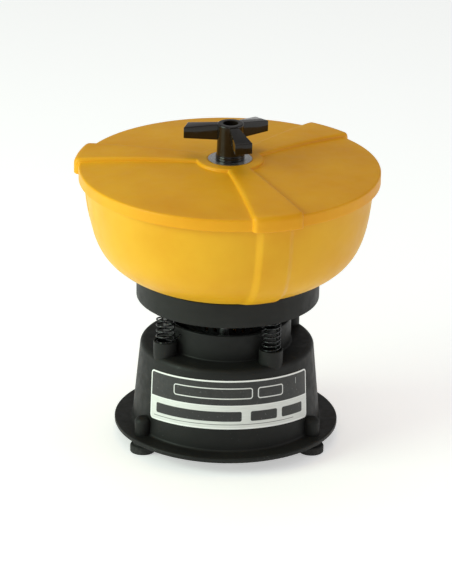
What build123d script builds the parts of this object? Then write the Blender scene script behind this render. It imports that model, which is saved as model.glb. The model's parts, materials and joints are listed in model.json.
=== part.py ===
"""Vibratory rock tumbler.

Millimetres, +Z up. The origin is the centre of the base on the surface that the feet stand on,
and -Y is the front, where the label is. Angles are in degrees, counted from +X towards +Y.
"""

from build123d import *
import os
from math import cos, radians, sin, tan

os.makedirs("parts", exist_ok=True)

# ---------------------------------------------------------------- driving dimensions
# Base housing
FLANGE_R = 86.5
FLANGE_BOTTOM = 11.0
FLANGE_TOP = 14.7
BODY_FOOT_R = 72.8
BODY_DRAFT = 5.4
LEDGE_Z = 79.0
SHOULDER_R = 4.5
COLLAR_R = 49.3
COLLAR_TOP = 100.2
WALL = 2.8

# Feet and the bosses that take their screws
FOOT_CIRCLE_R = 75.0
FOOT_ANGLE = -30.0
FOOT_R = 9.7
BOSS_R = 6.3
BOSS_TOP = 28.5
FOOT_SCREW_R = 2.0
FOOT_SCREW_HEAD_R = 4.0
FOOT_SCREW_HEAD_BOTTOM = 0.8
FOOT_SCREW_HEAD_TOP = 3.2
FOOT_SCREW_TOP = 24.0

# Springs and the cups that hold them
SPRING_CIRCLE_R = 57.8
SPRING_ANGLE = -56.5
SPRING_OUTER_R = 7.4
SPRING_WIRE_R = 0.65
SPRING_TURNS = 10.25
CUP_R = 9.2
CUP_BORE_R = 7.9
CUP_TOP = 90.0

# Bottom cover
COVER_R = 68.3
COVER_BOTTOM = 11.2
COVER_TOP = 14.0
POST_CIRCLE_R = 63.8
POST_ANGLE = 30.0
POST_R = 5.2
POST_TOP = 40.0
COVER_SCREW_R = 1.5
COVER_SCREW_HEAD_R = 3.2
COVER_SCREW_HEAD_H = 1.7
COVER_SCREW_LENGTH = 15.0

# Cord inlet at the back
INLET_ANGLE = 115.0
INLET_Z = 34.0
INLET_BORE_R = 3.6
GROMMET_R = 5.9
PAD_IN = 66.5
PAD_OUT = 73.0

# Label
LABEL_TOP = 71.2
LABEL_BOTTOM = 32.8
LABEL_HALF_ARC = 70.7
LABEL_THICK = 0.35
LABEL_TURN = 1.0

# Carriage
RING_R = 70.4
RING_BOTTOM = 115.2
RING_TOP = 134.5
WEB_BOTTOM = 121.0
WEB_TOP = 124.2
SPIGOT_R = 5.2
SPIGOT_H = 7.0

# Bowl
BOWL_RIM_R = 109.9
BOWL_RIM_TOP = 215.9
BOWL_WALL = 3.0
BOWL_SEAT_Z = 126.2
BOWL_BOTTOM = 128.0
CONE_TOP = 213.7
LIP_Z = 210.0
RIB_W = 27.0
RIB_ANGLE = -73.5

# Lid
LID_R = 115.0
LID_BOTTOM = 209.9
LID_EDGE_TOP = 219.3
LID_WALL = 2.6
LID_DISC_TOP = 223.8
LID_HUB_R = 25.5
LID_HUB_TOP = 226.2
WASHER_SEAT_R = 17.4
WASHER_SEAT_Z = 224.8
BAND_ROOT_R = 20.0
BAND_ROOT_HALF_W = 9.0
BAND_MID_R = 66.0
BAND_MID_HALF_W = 13.0
BAND_RIM_R = 113.0
BAND_RIM_HALF_W = 19.4
TAB_R = 119.2
TAB_TOP = 222.4
TAB_BOTTOM = 209.9

# Washer and knob
WASHER_R = 16.8
WASHER_TOP = 226.4
KNOB_TOP = 254.6
KNOB_ANGLE = -75.0
ARM_BOTTOM = 241.2
ARM_TIP_R = 35.0
ARM_TIP_HALF_W = 6.8
ARM_TIP_TOP = 249.8
ARM_ROOT_R = 8.0
ARM_ROOT_HALF_W = 3.2

# Stud
STUD_R = 3.0
STUD_TOP = 246.0
STUD_BOTTOM = 112.0
RUNNING_GAP = 0.05
LOOSE_GAP = 0.2

# Motor
MOTOR_ANGLE = -95.7 - 45.0
STACK_W = 58.0
STACK_BOTTOM = 66.0
STACK_TOP = 92.0
STACK_CORNER_R = 5.0
BOLT_CIRCLE_R = 33.9
BOLT_R = 2.0
BOLT_HOLE_R = 2.15
POLE_W = 12.0
YOKE_BORE_R = 26.0
STATOR_BORE_R = 15.4
ROTOR_R = 15.0
SHAFT_R = 4.0
BEARING_R = 8.0
BEARING_LENGTH = 8.0
BEARING_BOTTOM = 96.0
BRACKET_R = 28.6
BRACKET_WALL = 1.6
BRACKET_TOP = 100.0
STACK_MID = (STACK_BOTTOM + STACK_TOP) / 2
BRACKET_MID = (STACK_TOP + BRACKET_TOP) / 2


# ---------------------------------------------------------------- helpers
def body_radius(z):
    """Outer radius of the base's tapered wall at height z."""
    return BODY_FOOT_R - (z - FLANGE_TOP) * tan(radians(BODY_DRAFT))


def polar(radius, angle, z=0.0):
    """The point at that radius and angle about the Z axis."""
    return (radius * cos(radians(angle)), radius * sin(radians(angle)), z)


def upright_plane(radius, angle):
    """A vertical plane: local X points outwards from the Z axis and local Y points up."""
    outwards = polar(1, angle)
    return Plane(origin=polar(radius, angle), x_dir=outwards, z_dir=(outwards[1], -outwards[0], 0))


def radial_plane(radius, angle, z):
    """A plane that faces outwards from the Z axis: local X runs along the circle and local Y points up."""
    return Plane(origin=polar(radius, angle, z), x_dir=polar(1, angle + 90), z_dir=polar(1, angle))


def motor_plane(z):
    """A level plane turned with the motor, so that one corner of the stack is at the front."""
    return Plane.XY.offset(z).rotated((0, 0, MOTOR_ANGLE))


def corner(sketch, x, y):
    """The sketch vertex nearest to (x, y)."""
    return sketch.vertices().sort_by_distance((x, y, 0))[0]


def tube(outer_r, inner_r, bottom, top):
    """A plain round tube or washer on the Z axis."""
    with BuildPart() as ring:
        with BuildSketch(Plane.XY.offset(bottom)):
            Circle(outer_r)
            Circle(inner_r, mode=Mode.SUBTRACT)
        extrude(amount=top - bottom)
    return ring


# ================================================================ BASE
WALL_FOOT_R = body_radius(FLANGE_BOTTOM) - WALL
WALL_HEAD_R = body_radius(LEDGE_Z - WALL) - WALL
CUP_ROOT_Z = LEDGE_Z - 5.0
PAD_R = 9.5
PAD_DEPTH = PAD_OUT - PAD_IN

with BuildPart() as base_housing:
    with BuildSketch(Plane.XZ) as shell_profile:
        with BuildLine():
            Polyline(
                (COLLAR_R - WALL, COLLAR_TOP),
                (COLLAR_R, COLLAR_TOP),
                (COLLAR_R, LEDGE_Z),
                (body_radius(LEDGE_Z), LEDGE_Z),
                (BODY_FOOT_R, FLANGE_TOP),
                (FLANGE_R, FLANGE_TOP),
                (FLANGE_R, FLANGE_BOTTOM),
                (WALL_FOOT_R, FLANGE_BOTTOM),
                (WALL_HEAD_R, LEDGE_Z - WALL),
                (COLLAR_R - WALL, LEDGE_Z - WALL),
                close=True,
            )
        make_face()
        fillet(corner(shell_profile, body_radius(LEDGE_Z), LEDGE_Z), SHOULDER_R)
        fillet(corner(shell_profile, WALL_HEAD_R, LEDGE_Z - WALL), SHOULDER_R - WALL)
        fillet(corner(shell_profile, BODY_FOOT_R, FLANGE_TOP), 2.0)
        fillet(corner(shell_profile, FLANGE_R, FLANGE_TOP), 1.2)
        fillet(corner(shell_profile, FLANGE_R, FLANGE_BOTTOM), 0.8)
        fillet(corner(shell_profile, COLLAR_R, LEDGE_Z), 1.2)
        fillet(corner(shell_profile, COLLAR_R, COLLAR_TOP), 0.8)
        fillet(corner(shell_profile, COLLAR_R - WALL, COLLAR_TOP), 0.8)
    revolve(axis=Axis.Z)

    # spring cups, standing on the ledge
    for cup in range(4):
        cup_angle = SPRING_ANGLE + 90 * cup
        with BuildSketch(upright_plane(SPRING_CIRCLE_R, cup_angle)) as cup_profile:
            with BuildLine():
                Polyline((0, CUP_ROOT_Z), (CUP_R, CUP_ROOT_Z), (CUP_R, CUP_TOP), (0, CUP_TOP), close=True)
            make_face()
            fillet(corner(cup_profile, CUP_R, CUP_TOP), 0.6)
        revolve(axis=Axis(polar(SPRING_CIRCLE_R, cup_angle), (0, 0, 1)))
    with BuildSketch(Plane.XY.offset(LEDGE_Z)):
        with PolarLocations(SPRING_CIRCLE_R, 4, SPRING_ANGLE):
            Circle(CUP_BORE_R)
    extrude(amount=CUP_TOP - LEDGE_Z, mode=Mode.SUBTRACT)

    # domed screw bosses above the feet
    for foot in range(3):
        boss_angle = FOOT_ANGLE + 120 * foot
        with BuildSketch(upright_plane(FOOT_CIRCLE_R, boss_angle)) as boss_profile:
            with BuildLine():
                Polyline(
                    (0, FLANGE_BOTTOM),
                    (BOSS_R, FLANGE_BOTTOM),
                    (BOSS_R, BOSS_TOP),
                    (0, BOSS_TOP),
                    close=True,
                )
            make_face()
            fillet(corner(boss_profile, BOSS_R, BOSS_TOP), 4.0)
        revolve(axis=Axis(polar(FOOT_CIRCLE_R, boss_angle), (0, 0, 1)))

    # posts that take the cover screws
    with BuildSketch(Plane.XY.offset(COVER_TOP)):
        with PolarLocations(POST_CIRCLE_R, 3, POST_ANGLE):
            Circle(POST_R)
    extrude(amount=POST_TOP - COVER_TOP)

    # flat pad round the cord inlet, then the inlet hole
    with BuildSketch(radial_plane(PAD_IN, INLET_ANGLE, INLET_Z)):
        Circle(PAD_R)
    extrude(amount=PAD_DEPTH)
    with BuildSketch(radial_plane(PAD_IN - 5, INLET_ANGLE, INLET_Z)):
        Circle(GROMMET_R)
    extrude(amount=PAD_DEPTH + 10, mode=Mode.SUBTRACT)

    # screw holes
    with BuildSketch(Plane.XY.offset(FLANGE_BOTTOM)):
        with PolarLocations(FOOT_CIRCLE_R, 3, FOOT_ANGLE):
            Circle(FOOT_SCREW_R + RUNNING_GAP)
    extrude(amount=FOOT_SCREW_TOP + 1 - FLANGE_BOTTOM, mode=Mode.SUBTRACT)
    with BuildSketch(Plane.XY.offset(COVER_TOP)):
        with PolarLocations(POST_CIRCLE_R, 3, POST_ANGLE):
            Circle(COVER_SCREW_R + RUNNING_GAP)
    extrude(amount=COVER_SCREW_LENGTH + 1, mode=Mode.SUBTRACT)
base_housing.part.label = "base_housing"
export_step(base_housing.part, "parts/base_housing.step")

# Bottom cover: a disc with two rings of slots for cooling air.
with BuildPart() as bottom_cover:
    with BuildSketch(Plane.XY.offset(COVER_BOTTOM)):
        Circle(COVER_R)
        with PolarLocations(34, 16):
            SlotCenterToCenter(14, 4, mode=Mode.SUBTRACT)
        with PolarLocations(15, 8):
            SlotCenterToCenter(8, 4, mode=Mode.SUBTRACT)
        with PolarLocations(POST_CIRCLE_R, 3, POST_ANGLE):
            Circle(COVER_SCREW_R + LOOSE_GAP, mode=Mode.SUBTRACT)
    extrude(amount=COVER_TOP - COVER_BOTTOM)
    with BuildSketch(Plane.XY.offset(COVER_BOTTOM)):
        with PolarLocations(POST_CIRCLE_R, 3, POST_ANGLE):
            Circle(COVER_SCREW_HEAD_R + LOOSE_GAP)
    extrude(amount=COVER_SCREW_HEAD_H, mode=Mode.SUBTRACT)
bottom_cover.part.label = "bottom_cover"
export_step(bottom_cover.part, "parts/bottom_cover.step")

# Pan-head screws through the cover, heads sunk flush.
with BuildPart() as cover_screws:
    with BuildSketch(Plane.XY.offset(COVER_BOTTOM)):
        with PolarLocations(POST_CIRCLE_R, 3, POST_ANGLE):
            Circle(COVER_SCREW_HEAD_R)
    extrude(amount=COVER_SCREW_HEAD_H)
    with BuildSketch(Plane.XY.offset(COVER_BOTTOM)):
        with PolarLocations(POST_CIRCLE_R, 3, POST_ANGLE):
            Circle(COVER_SCREW_R)
    extrude(amount=COVER_SCREW_LENGTH)
    with BuildSketch(Plane.XY.offset(COVER_BOTTOM)):
        with PolarLocations(POST_CIRCLE_R, 3, POST_ANGLE):
            Rectangle(4.0, 0.8)
            Rectangle(0.8, 4.0)
    extrude(amount=0.9, mode=Mode.SUBTRACT)
cover_screws.part.label = "cover_screws"
export_step(cover_screws.part, "parts/cover_screws.step")

# Rubber feet: a disc with a rounded edge, a neck up to the flange and a recess for the screw head.
FOOT_DISC_TOP = 6.4
FOOT_NECK_R = 7.0
FOOT_HOLE_R = 2.1
FOOT_RECESS_R = 4.4
for foot_name, foot_angle in (("foot_right", -30), ("foot_rear", 90), ("foot_left", 210)):
    with BuildPart() as rubber_foot:
        with BuildSketch(upright_plane(FOOT_CIRCLE_R, foot_angle)) as foot_profile:
            with BuildLine():
                Polyline(
                    (FOOT_HOLE_R, FOOT_SCREW_HEAD_TOP),
                    (FOOT_RECESS_R, FOOT_SCREW_HEAD_TOP),
                    (FOOT_RECESS_R, 0),
                    (FOOT_R, 0),
                    (FOOT_R, FOOT_DISC_TOP),
                    (FOOT_NECK_R, FOOT_DISC_TOP),
                    (FOOT_NECK_R, FLANGE_BOTTOM),
                    (FOOT_HOLE_R, FLANGE_BOTTOM),
                    close=True,
                )
            make_face()
            fillet(corner(foot_profile, FOOT_R, 0), 0.8)
            fillet(corner(foot_profile, FOOT_R, FOOT_DISC_TOP), 1.6)
            fillet(corner(foot_profile, FOOT_NECK_R, FOOT_DISC_TOP), 1.0)
        revolve(axis=Axis(polar(FOOT_CIRCLE_R, foot_angle), (0, 0, 1)))
    rubber_foot.part.label = foot_name
    export_step(rubber_foot.part, f"parts/{foot_name}.step")

with BuildPart() as foot_screws:
    with BuildSketch(Plane.XY.offset(FOOT_SCREW_HEAD_BOTTOM)):
        with PolarLocations(FOOT_CIRCLE_R, 3, FOOT_ANGLE):
            Circle(FOOT_SCREW_HEAD_R)
    extrude(amount=FOOT_SCREW_HEAD_TOP - FOOT_SCREW_HEAD_BOTTOM)
    with BuildSketch(Plane.XY.offset(FOOT_SCREW_HEAD_BOTTOM)):
        with PolarLocations(FOOT_CIRCLE_R, 3, FOOT_ANGLE):
            Circle(FOOT_SCREW_R)
    extrude(amount=FOOT_SCREW_TOP - FOOT_SCREW_HEAD_BOTTOM)
    with BuildSketch(Plane.XY.offset(FOOT_SCREW_HEAD_BOTTOM)):
        with PolarLocations(FOOT_CIRCLE_R, 3, FOOT_ANGLE):
            Rectangle(5.0, 1.0)
            Rectangle(1.0, 5.0)
    extrude(amount=1.2, mode=Mode.SUBTRACT)
foot_screws.part.label = "foot_screws"
export_step(foot_screws.part, "parts/foot_screws.step")

# Cord grommet: a rubber bush that snaps into the inlet hole, with a flange on each side.
with BuildPart() as cord_grommet:
    with BuildSketch(radial_plane(PAD_IN - 2.0, INLET_ANGLE, INLET_Z)):
        Circle(7.4)
    extrude(amount=2.0)
    with BuildSketch(radial_plane(PAD_IN, INLET_ANGLE, INLET_Z)):
        Circle(GROMMET_R)
    extrude(amount=PAD_DEPTH)
    with BuildSketch(radial_plane(PAD_OUT, INLET_ANGLE, INLET_Z)):
        Circle(8.2)
    extrude(amount=2.5)
    flat_faces = cord_grommet.faces().filter_by(GeomType.PLANE)
    outer_face = flat_faces.sort_by_distance(polar(90, INLET_ANGLE, INLET_Z))[0]
    fillet(outer_face.edges(), 1.2)
    with BuildSketch(radial_plane(PAD_IN - 2.0, INLET_ANGLE, INLET_Z)):
        Circle(INLET_BORE_R)
    extrude(amount=20, mode=Mode.SUBTRACT)
cord_grommet.part.label = "cord_grommet"
export_step(cord_grommet.part, "parts/cord_grommet.step")

# Terminal block on the cover, below the inlet, with two screw-down ways.
BLOCK_R = 50.0
BLOCK_TOP = COVER_TOP + 11.0
block_plane = Plane(origin=polar(BLOCK_R, INLET_ANGLE, COVER_TOP), x_dir=polar(1, INLET_ANGLE))
with BuildPart() as terminal_block:
    with BuildSketch(block_plane):
        RectangleRounded(14, 26, 1.5)
    extrude(amount=BLOCK_TOP - COVER_TOP)
    with BuildSketch(block_plane.offset(BLOCK_TOP - COVER_TOP)):
        with Locations((0, -8), (0, 8)):
            Circle(2.4)
    extrude(amount=-6, mode=Mode.SUBTRACT)
    with BuildSketch(block_plane):
        Circle(1.8)
    extrude(amount=BLOCK_TOP - COVER_TOP, mode=Mode.SUBTRACT)
terminal_block.part.label = "terminal_block"
export_step(terminal_block.part, "parts/terminal_block.step")

with BuildPart() as terminal_screws:
    with BuildSketch(block_plane.offset(BLOCK_TOP - COVER_TOP - 6)):
        with Locations((0, -8), (0, 8)):
            Circle(2.3)
    extrude(amount=4.5)
    with BuildSketch(block_plane.offset(BLOCK_TOP - COVER_TOP - 2.5)):
        with Locations((0, -8), (0, 8)):
            Rectangle(0.8, 5)
    extrude(amount=1.0, mode=Mode.SUBTRACT)
    with BuildSketch(block_plane):
        Circle(1.7)
    extrude(amount=BLOCK_TOP - COVER_TOP)
    with BuildSketch(block_plane.offset(BLOCK_TOP - COVER_TOP)):
        Circle(3.2)
    extrude(amount=1.8)
terminal_screws.part.label = "terminal_screws"
export_step(terminal_screws.part, "parts/terminal_screws.step")


# Label: a straight rectangle wrapped on the cone, so its edges droop towards the sides.
def label_point(arc, z_middle):
    """Front view (x, z) of a point of the wrapped label, arc millimetres from its middle."""
    slant = body_radius(z_middle) / sin(radians(BODY_DRAFT))
    z = z_middle - arc * arc / (2 * slant)
    radius = body_radius(z)
    return (radius * sin(arc / radius), z)


LABEL_ARCS = [LABEL_HALF_ARC * step / 4 for step in range(-4, 5)]
LABEL_GAP = 0.02
with BuildPart() as front_label:
    with BuildSketch(Plane.XZ):
        with BuildLine():
            Polyline(
                (body_radius(20) + LABEL_GAP, 20),
                (body_radius(75) + LABEL_GAP, 75),
                (body_radius(75) + LABEL_GAP + LABEL_THICK, 75),
                (body_radius(20) + LABEL_GAP + LABEL_THICK, 20),
                close=True,
            )
        make_face()
    revolve(axis=Axis.Z)
    label_front = Plane(origin=(0, 0, 0), x_dir=polar(1, LABEL_TURN), z_dir=polar(1, LABEL_TURN - 90))
    with BuildSketch(label_front) as label_outline:
        with BuildLine():
            top_edge = Spline([label_point(arc, LABEL_TOP) for arc in LABEL_ARCS])
            bottom_edge = Spline([label_point(arc, LABEL_BOTTOM) for arc in LABEL_ARCS])
            Line(top_edge @ 0, bottom_edge @ 0)
            Line(top_edge @ 1, bottom_edge @ 1)
        make_face()
        fillet(label_outline.vertices(), 3.0)
    extrude(amount=100, mode=Mode.INTERSECT)
front_label.part.label = "front_label"
export_step(front_label.part, "parts/front_label.step")

# Coil springs, from the floor of each cup up to the carriage web.
SPRING_HELIX_R = SPRING_OUTER_R - SPRING_WIRE_R
SPRING_HEIGHT = WEB_BOTTOM - LEDGE_Z - 2 * SPRING_WIRE_R
SPRING_NAMES = ("spring_front_right", "spring_rear_right", "spring_rear_left", "spring_front_left")
for index, spring_name in enumerate(SPRING_NAMES):
    centre = polar(SPRING_CIRCLE_R, SPRING_ANGLE + 90 * index, LEDGE_Z + SPRING_WIRE_R)
    with BuildPart() as coil_spring:
        with BuildLine() as wire_path:
            Helix(SPRING_HEIGHT / SPRING_TURNS, SPRING_HEIGHT, SPRING_HELIX_R, center=centre)
        with BuildSketch(Plane(origin=wire_path.line @ 0, z_dir=wire_path.line % 0)):
            Circle(SPRING_WIRE_R)
        sweep(path=wire_path.line, is_frenet=True)
    coil_spring.part.label = spring_name
    export_step(coil_spring.part, f"parts/{spring_name}.step")

# ================================================================ CARRIAGE
SKIRT_WALL = 2.5
with BuildPart() as carriage_ring:
    with BuildSketch(Plane.XZ) as ring_profile:
        with BuildLine():
            Polyline(
                (STUD_R + LOOSE_GAP, WEB_BOTTOM),
                (RING_R - SKIRT_WALL, WEB_BOTTOM),
                (RING_R - SKIRT_WALL, RING_BOTTOM),
                (RING_R, RING_BOTTOM),
                (RING_R, RING_TOP),
                (RING_R - SKIRT_WALL, RING_TOP - 1.1),
                (RING_R - SKIRT_WALL, WEB_TOP),
                (STUD_R + LOOSE_GAP, WEB_TOP),
                close=True,
            )
        make_face()
        fillet(corner(ring_profile, RING_R, RING_BOTTOM), 0.8)
        fillet(corner(ring_profile, RING_R - SKIRT_WALL, WEB_BOTTOM), 1.5)
        fillet(corner(ring_profile, RING_R - SKIRT_WALL, WEB_TOP), 1.5)
    revolve(axis=Axis.Z)
    with BuildSketch(Plane.XY.offset(WEB_BOTTOM)):
        with PolarLocations(SPRING_CIRCLE_R, 4, SPRING_ANGLE):
            Circle(SPIGOT_R)
    extrude(amount=-SPIGOT_H)
    with BuildSketch(motor_plane(WEB_BOTTOM)):
        with PolarLocations(BOLT_CIRCLE_R, 4, 45):
            Circle(BOLT_HOLE_R)
    extrude(amount=WEB_TOP - WEB_BOTTOM, mode=Mode.SUBTRACT)
carriage_ring.part.label = "carriage_ring"
export_step(carriage_ring.part, "parts/carriage_ring.step")

bowl_pad = tube(50.0, 42.0, WEB_TOP, BOWL_SEAT_Z)
bowl_pad.part.label = "bowl_pad"
export_step(bowl_pad.part, "parts/bowl_pad.step")

with BuildPart() as centre_stud:
    with BuildSketch(Plane.XY.offset(STUD_BOTTOM)):
        Circle(STUD_R)
    extrude(amount=STUD_TOP - STUD_BOTTOM)
    chamfer(centre_stud.edges().filter_by(GeomType.CIRCLE), 0.6)
centre_stud.part.label = "centre_stud"
export_step(centre_stud.part, "parts/centre_stud.step")

WASHER_T = 1.6
STUD_NUT_H = 5.0
with BuildPart() as stud_nuts:
    for nut_bottom in (WEB_TOP + WASHER_T, WEB_BOTTOM - WASHER_T - STUD_NUT_H):
        with BuildSketch(Plane.XY.offset(nut_bottom)):
            RegularPolygon(5.0, 6, major_radius=False)
            Circle(STUD_R + RUNNING_GAP, mode=Mode.SUBTRACT)
        extrude(amount=STUD_NUT_H)
stud_nuts.part.label = "stud_nuts"
export_step(stud_nuts.part, "parts/stud_nuts.step")

with BuildPart() as stud_washers:
    for washer_bottom in (WEB_TOP, WEB_BOTTOM - WASHER_T):
        with BuildSketch(Plane.XY.offset(washer_bottom)):
            Circle(9.0)
            Circle(STUD_R + LOOSE_GAP, mode=Mode.SUBTRACT)
        extrude(amount=WASHER_T)
stud_washers.part.label = "stud_washers"
export_step(stud_washers.part, "parts/stud_washers.step")

# Stator: square laminations with four poles.
with BuildPart() as stator_core:
    with BuildSketch(motor_plane(STACK_BOTTOM)):
        RectangleRounded(STACK_W, STACK_W, STACK_CORNER_R)
        Circle(YOKE_BORE_R, mode=Mode.SUBTRACT)
        with PolarLocations(22, 4):
            Rectangle(10, POLE_W)
        with PolarLocations(17, 4):
            Rectangle(3, POLE_W + 6)
        Circle(STATOR_BORE_R, mode=Mode.SUBTRACT)
        with PolarLocations(BOLT_CIRCLE_R, 4, 45):
            Circle(BOLT_HOLE_R, mode=Mode.SUBTRACT)
    extrude(amount=STACK_TOP - STACK_BOTTOM)
stator_core.part.label = "stator_core"
export_step(stator_core.part, "parts/stator_core.step")

# One winding round each pole.
COIL_GAP = 0.2
COIL_WALL = 3.7
COIL_INNER_W = POLE_W + 2 * COIL_GAP
COIL_INNER_H = STACK_TOP - STACK_BOTTOM + 2 * COIL_GAP
with BuildPart() as motor_coils:
    for pole in range(4):
        with BuildSketch(radial_plane(18.7, MOTOR_ANGLE + 90 * pole, STACK_MID)):
            RectangleRounded(COIL_INNER_W + 2 * COIL_WALL, COIL_INNER_H + 2 * COIL_WALL, 3)
            Rectangle(COIL_INNER_W, COIL_INNER_H, mode=Mode.SUBTRACT)
        extrude(amount=4.6)
motor_coils.part.label = "motor_coils"
export_step(motor_coils.part, "parts/motor_coils.step")

# Motor end brackets: a flange with the stack's outline, a slotted cup and a bearing boss.
BRACKET_FLANGE_T = 1.5
BEARING_BOSS_R = 11.0
with BuildPart() as upper_bracket:
    with BuildSketch(motor_plane(STACK_TOP)):
        RectangleRounded(STACK_W, STACK_W, STACK_CORNER_R)
        Circle(BRACKET_R - BRACKET_WALL, mode=Mode.SUBTRACT)
        with PolarLocations(BOLT_CIRCLE_R, 4, 45):
            Circle(BOLT_HOLE_R, mode=Mode.SUBTRACT)
    extrude(amount=BRACKET_FLANGE_T)
    with BuildSketch(motor_plane(STACK_TOP)):
        Circle(BRACKET_R)
        Circle(BRACKET_R - BRACKET_WALL, mode=Mode.SUBTRACT)
    extrude(amount=BRACKET_TOP - STACK_TOP)
    with BuildSketch(motor_plane(BRACKET_TOP - BRACKET_WALL)):
        Circle(BRACKET_R)
        Circle(BEARING_R, mode=Mode.SUBTRACT)
        with PolarLocations(19, 8, 22.5):
            Circle(3.5, mode=Mode.SUBTRACT)
    extrude(amount=BRACKET_WALL)
    with BuildSketch(motor_plane(BEARING_BOTTOM)):
        Circle(BEARING_BOSS_R)
        Circle(BEARING_R, mode=Mode.SUBTRACT)
    extrude(amount=BEARING_LENGTH)
    for slot in range(24):
        with BuildSketch(radial_plane(BRACKET_R + 1, MOTOR_ANGLE + 15 * slot, BRACKET_MID)):
            Rectangle(3.0, 3.6)
        extrude(amount=-4, mode=Mode.SUBTRACT)
upper_bracket.part.label = "upper_bracket"
export_step(upper_bracket.part, "parts/upper_bracket.step")

with BuildPart() as lower_bracket:
    mirror(upper_bracket.part, about=Plane.XY.offset(STACK_MID))
lower_bracket.part.label = "lower_bracket"
export_step(lower_bracket.part, "parts/lower_bracket.step")

upper_bearing = tube(BEARING_R, SHAFT_R + RUNNING_GAP, BEARING_BOTTOM, BEARING_BOTTOM + BEARING_LENGTH)
upper_bearing.part.label = "upper_bearing"
export_step(upper_bearing.part, "parts/upper_bearing.step")

LOWER_BEARING_TOP = 2 * STACK_MID - BEARING_BOTTOM
lower_bearing = tube(BEARING_R, SHAFT_R + RUNNING_GAP, LOWER_BEARING_TOP - BEARING_LENGTH, LOWER_BEARING_TOP)
lower_bearing.part.label = "lower_bearing"
export_step(lower_bearing.part, "parts/lower_bearing.step")

# Spacer tubes and long bolts hang the motor below the web.
with BuildPart() as motor_spacers:
    with BuildSketch(motor_plane(STACK_TOP + BRACKET_FLANGE_T)):
        with PolarLocations(BOLT_CIRCLE_R, 4, 45):
            Circle(3.6)
            Circle(BOLT_HOLE_R, mode=Mode.SUBTRACT)
    extrude(amount=WEB_BOTTOM - STACK_TOP - BRACKET_FLANGE_T)
motor_spacers.part.label = "motor_spacers"
export_step(motor_spacers.part, "parts/motor_spacers.step")

BOLT_END = 60.0
BOLT_HEAD_H = 2.0
with BuildPart() as motor_bolts:
    with BuildSketch(motor_plane(BOLT_END)):
        with PolarLocations(BOLT_CIRCLE_R, 4, 45):
            Circle(BOLT_R)
    extrude(amount=WEB_TOP - BOLT_END)
    with BuildSketch(motor_plane(WEB_TOP)):
        with PolarLocations(BOLT_CIRCLE_R, 4, 45):
            Circle(3.6)
    extrude(amount=BOLT_HEAD_H)
    with BuildSketch(motor_plane(WEB_TOP + BOLT_HEAD_H - 1)):
        with PolarLocations(BOLT_CIRCLE_R, 4, 45):
            Rectangle(5, 0.9)
            Rectangle(0.9, 5)
    extrude(amount=1, mode=Mode.SUBTRACT)
motor_bolts.part.label = "motor_bolts"
export_step(motor_bolts.part, "parts/motor_bolts.step")

NUT_TOP = STACK_BOTTOM - BRACKET_FLANGE_T
with BuildPart() as motor_nuts:
    with BuildSketch(motor_plane(NUT_TOP)):
        with PolarLocations(BOLT_CIRCLE_R, 4, 45):
            RegularPolygon(3.5, 6, major_radius=False)
            Circle(BOLT_R + RUNNING_GAP, mode=Mode.SUBTRACT)
    extrude(amount=-3.2)
motor_nuts.part.label = "motor_nuts"
export_step(motor_nuts.part, "parts/motor_nuts.step")

# ================================================================ ROTOR
SHAFT_BOTTOM = 20.0
SHAFT_TOP = 106.0
with BuildPart() as motor_shaft:
    with BuildSketch(Plane.XY.offset(SHAFT_BOTTOM)):
        Circle(SHAFT_R)
    extrude(amount=SHAFT_TOP - SHAFT_BOTTOM)
    chamfer(motor_shaft.edges().filter_by(GeomType.CIRCLE), 0.5)
motor_shaft.part.label = "motor_shaft"
export_step(motor_shaft.part, "parts/motor_shaft.step")

END_RING_H = 2.5
with BuildPart() as rotor_core:
    with BuildSketch(Plane.XZ):
        with BuildLine():
            Polyline(
                (SHAFT_R, STACK_BOTTOM - END_RING_H),
                (ROTOR_R - 2, STACK_BOTTOM - END_RING_H),
                (ROTOR_R - 2, STACK_BOTTOM),
                (ROTOR_R, STACK_BOTTOM),
                (ROTOR_R, STACK_TOP),
                (ROTOR_R - 2, STACK_TOP),
                (ROTOR_R - 2, STACK_TOP + END_RING_H),
                (SHAFT_R, STACK_TOP + END_RING_H),
                close=True,
            )
        make_face()
    revolve(axis=Axis.Z)
rotor_core.part.label = "rotor_core"
export_step(rotor_core.part, "parts/rotor_core.step")

with BuildPart() as thrust_washers:
    for washer_bottom in (STACK_TOP + END_RING_H + 0.2, STACK_BOTTOM - END_RING_H - 1.2):
        with BuildSketch(Plane.XY.offset(washer_bottom)):
            Circle(7.4)
            Circle(SHAFT_R + RUNNING_GAP, mode=Mode.SUBTRACT)
        extrude(amount=1.0)
thrust_washers.part.label = "thrust_washers"
export_step(thrust_washers.part, "parts/thrust_washers.step")

# Cooling fan: seven pitched blades on a hub.
FAN_BOTTOM = 43.0
FAN_TOP = 52.5
FAN_R = 32.0
BLADES = 7
with BuildPart() as cooling_fan:
    with BuildSketch(Plane.XY.offset(FAN_BOTTOM)):
        Circle(9)
    extrude(amount=FAN_TOP - FAN_BOTTOM)
    for blade in range(BLADES):
        blade_angle = blade * 360 / BLADES
        blade_plane = radial_plane(7, blade_angle, (FAN_BOTTOM + FAN_TOP) / 2)
        with BuildSketch(blade_plane.rotated((0, 0, 35))):
            RectangleRounded(1.5, 10.5, 0.6)
        extrude(amount=FAN_R - 7)
    with BuildSketch(Plane.XY.offset(FAN_BOTTOM)):
        Circle(SHAFT_R)
    extrude(amount=FAN_TOP - FAN_BOTTOM, mode=Mode.SUBTRACT)
cooling_fan.part.label = "cooling_fan"
export_step(cooling_fan.part, "parts/cooling_fan.step")

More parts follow.
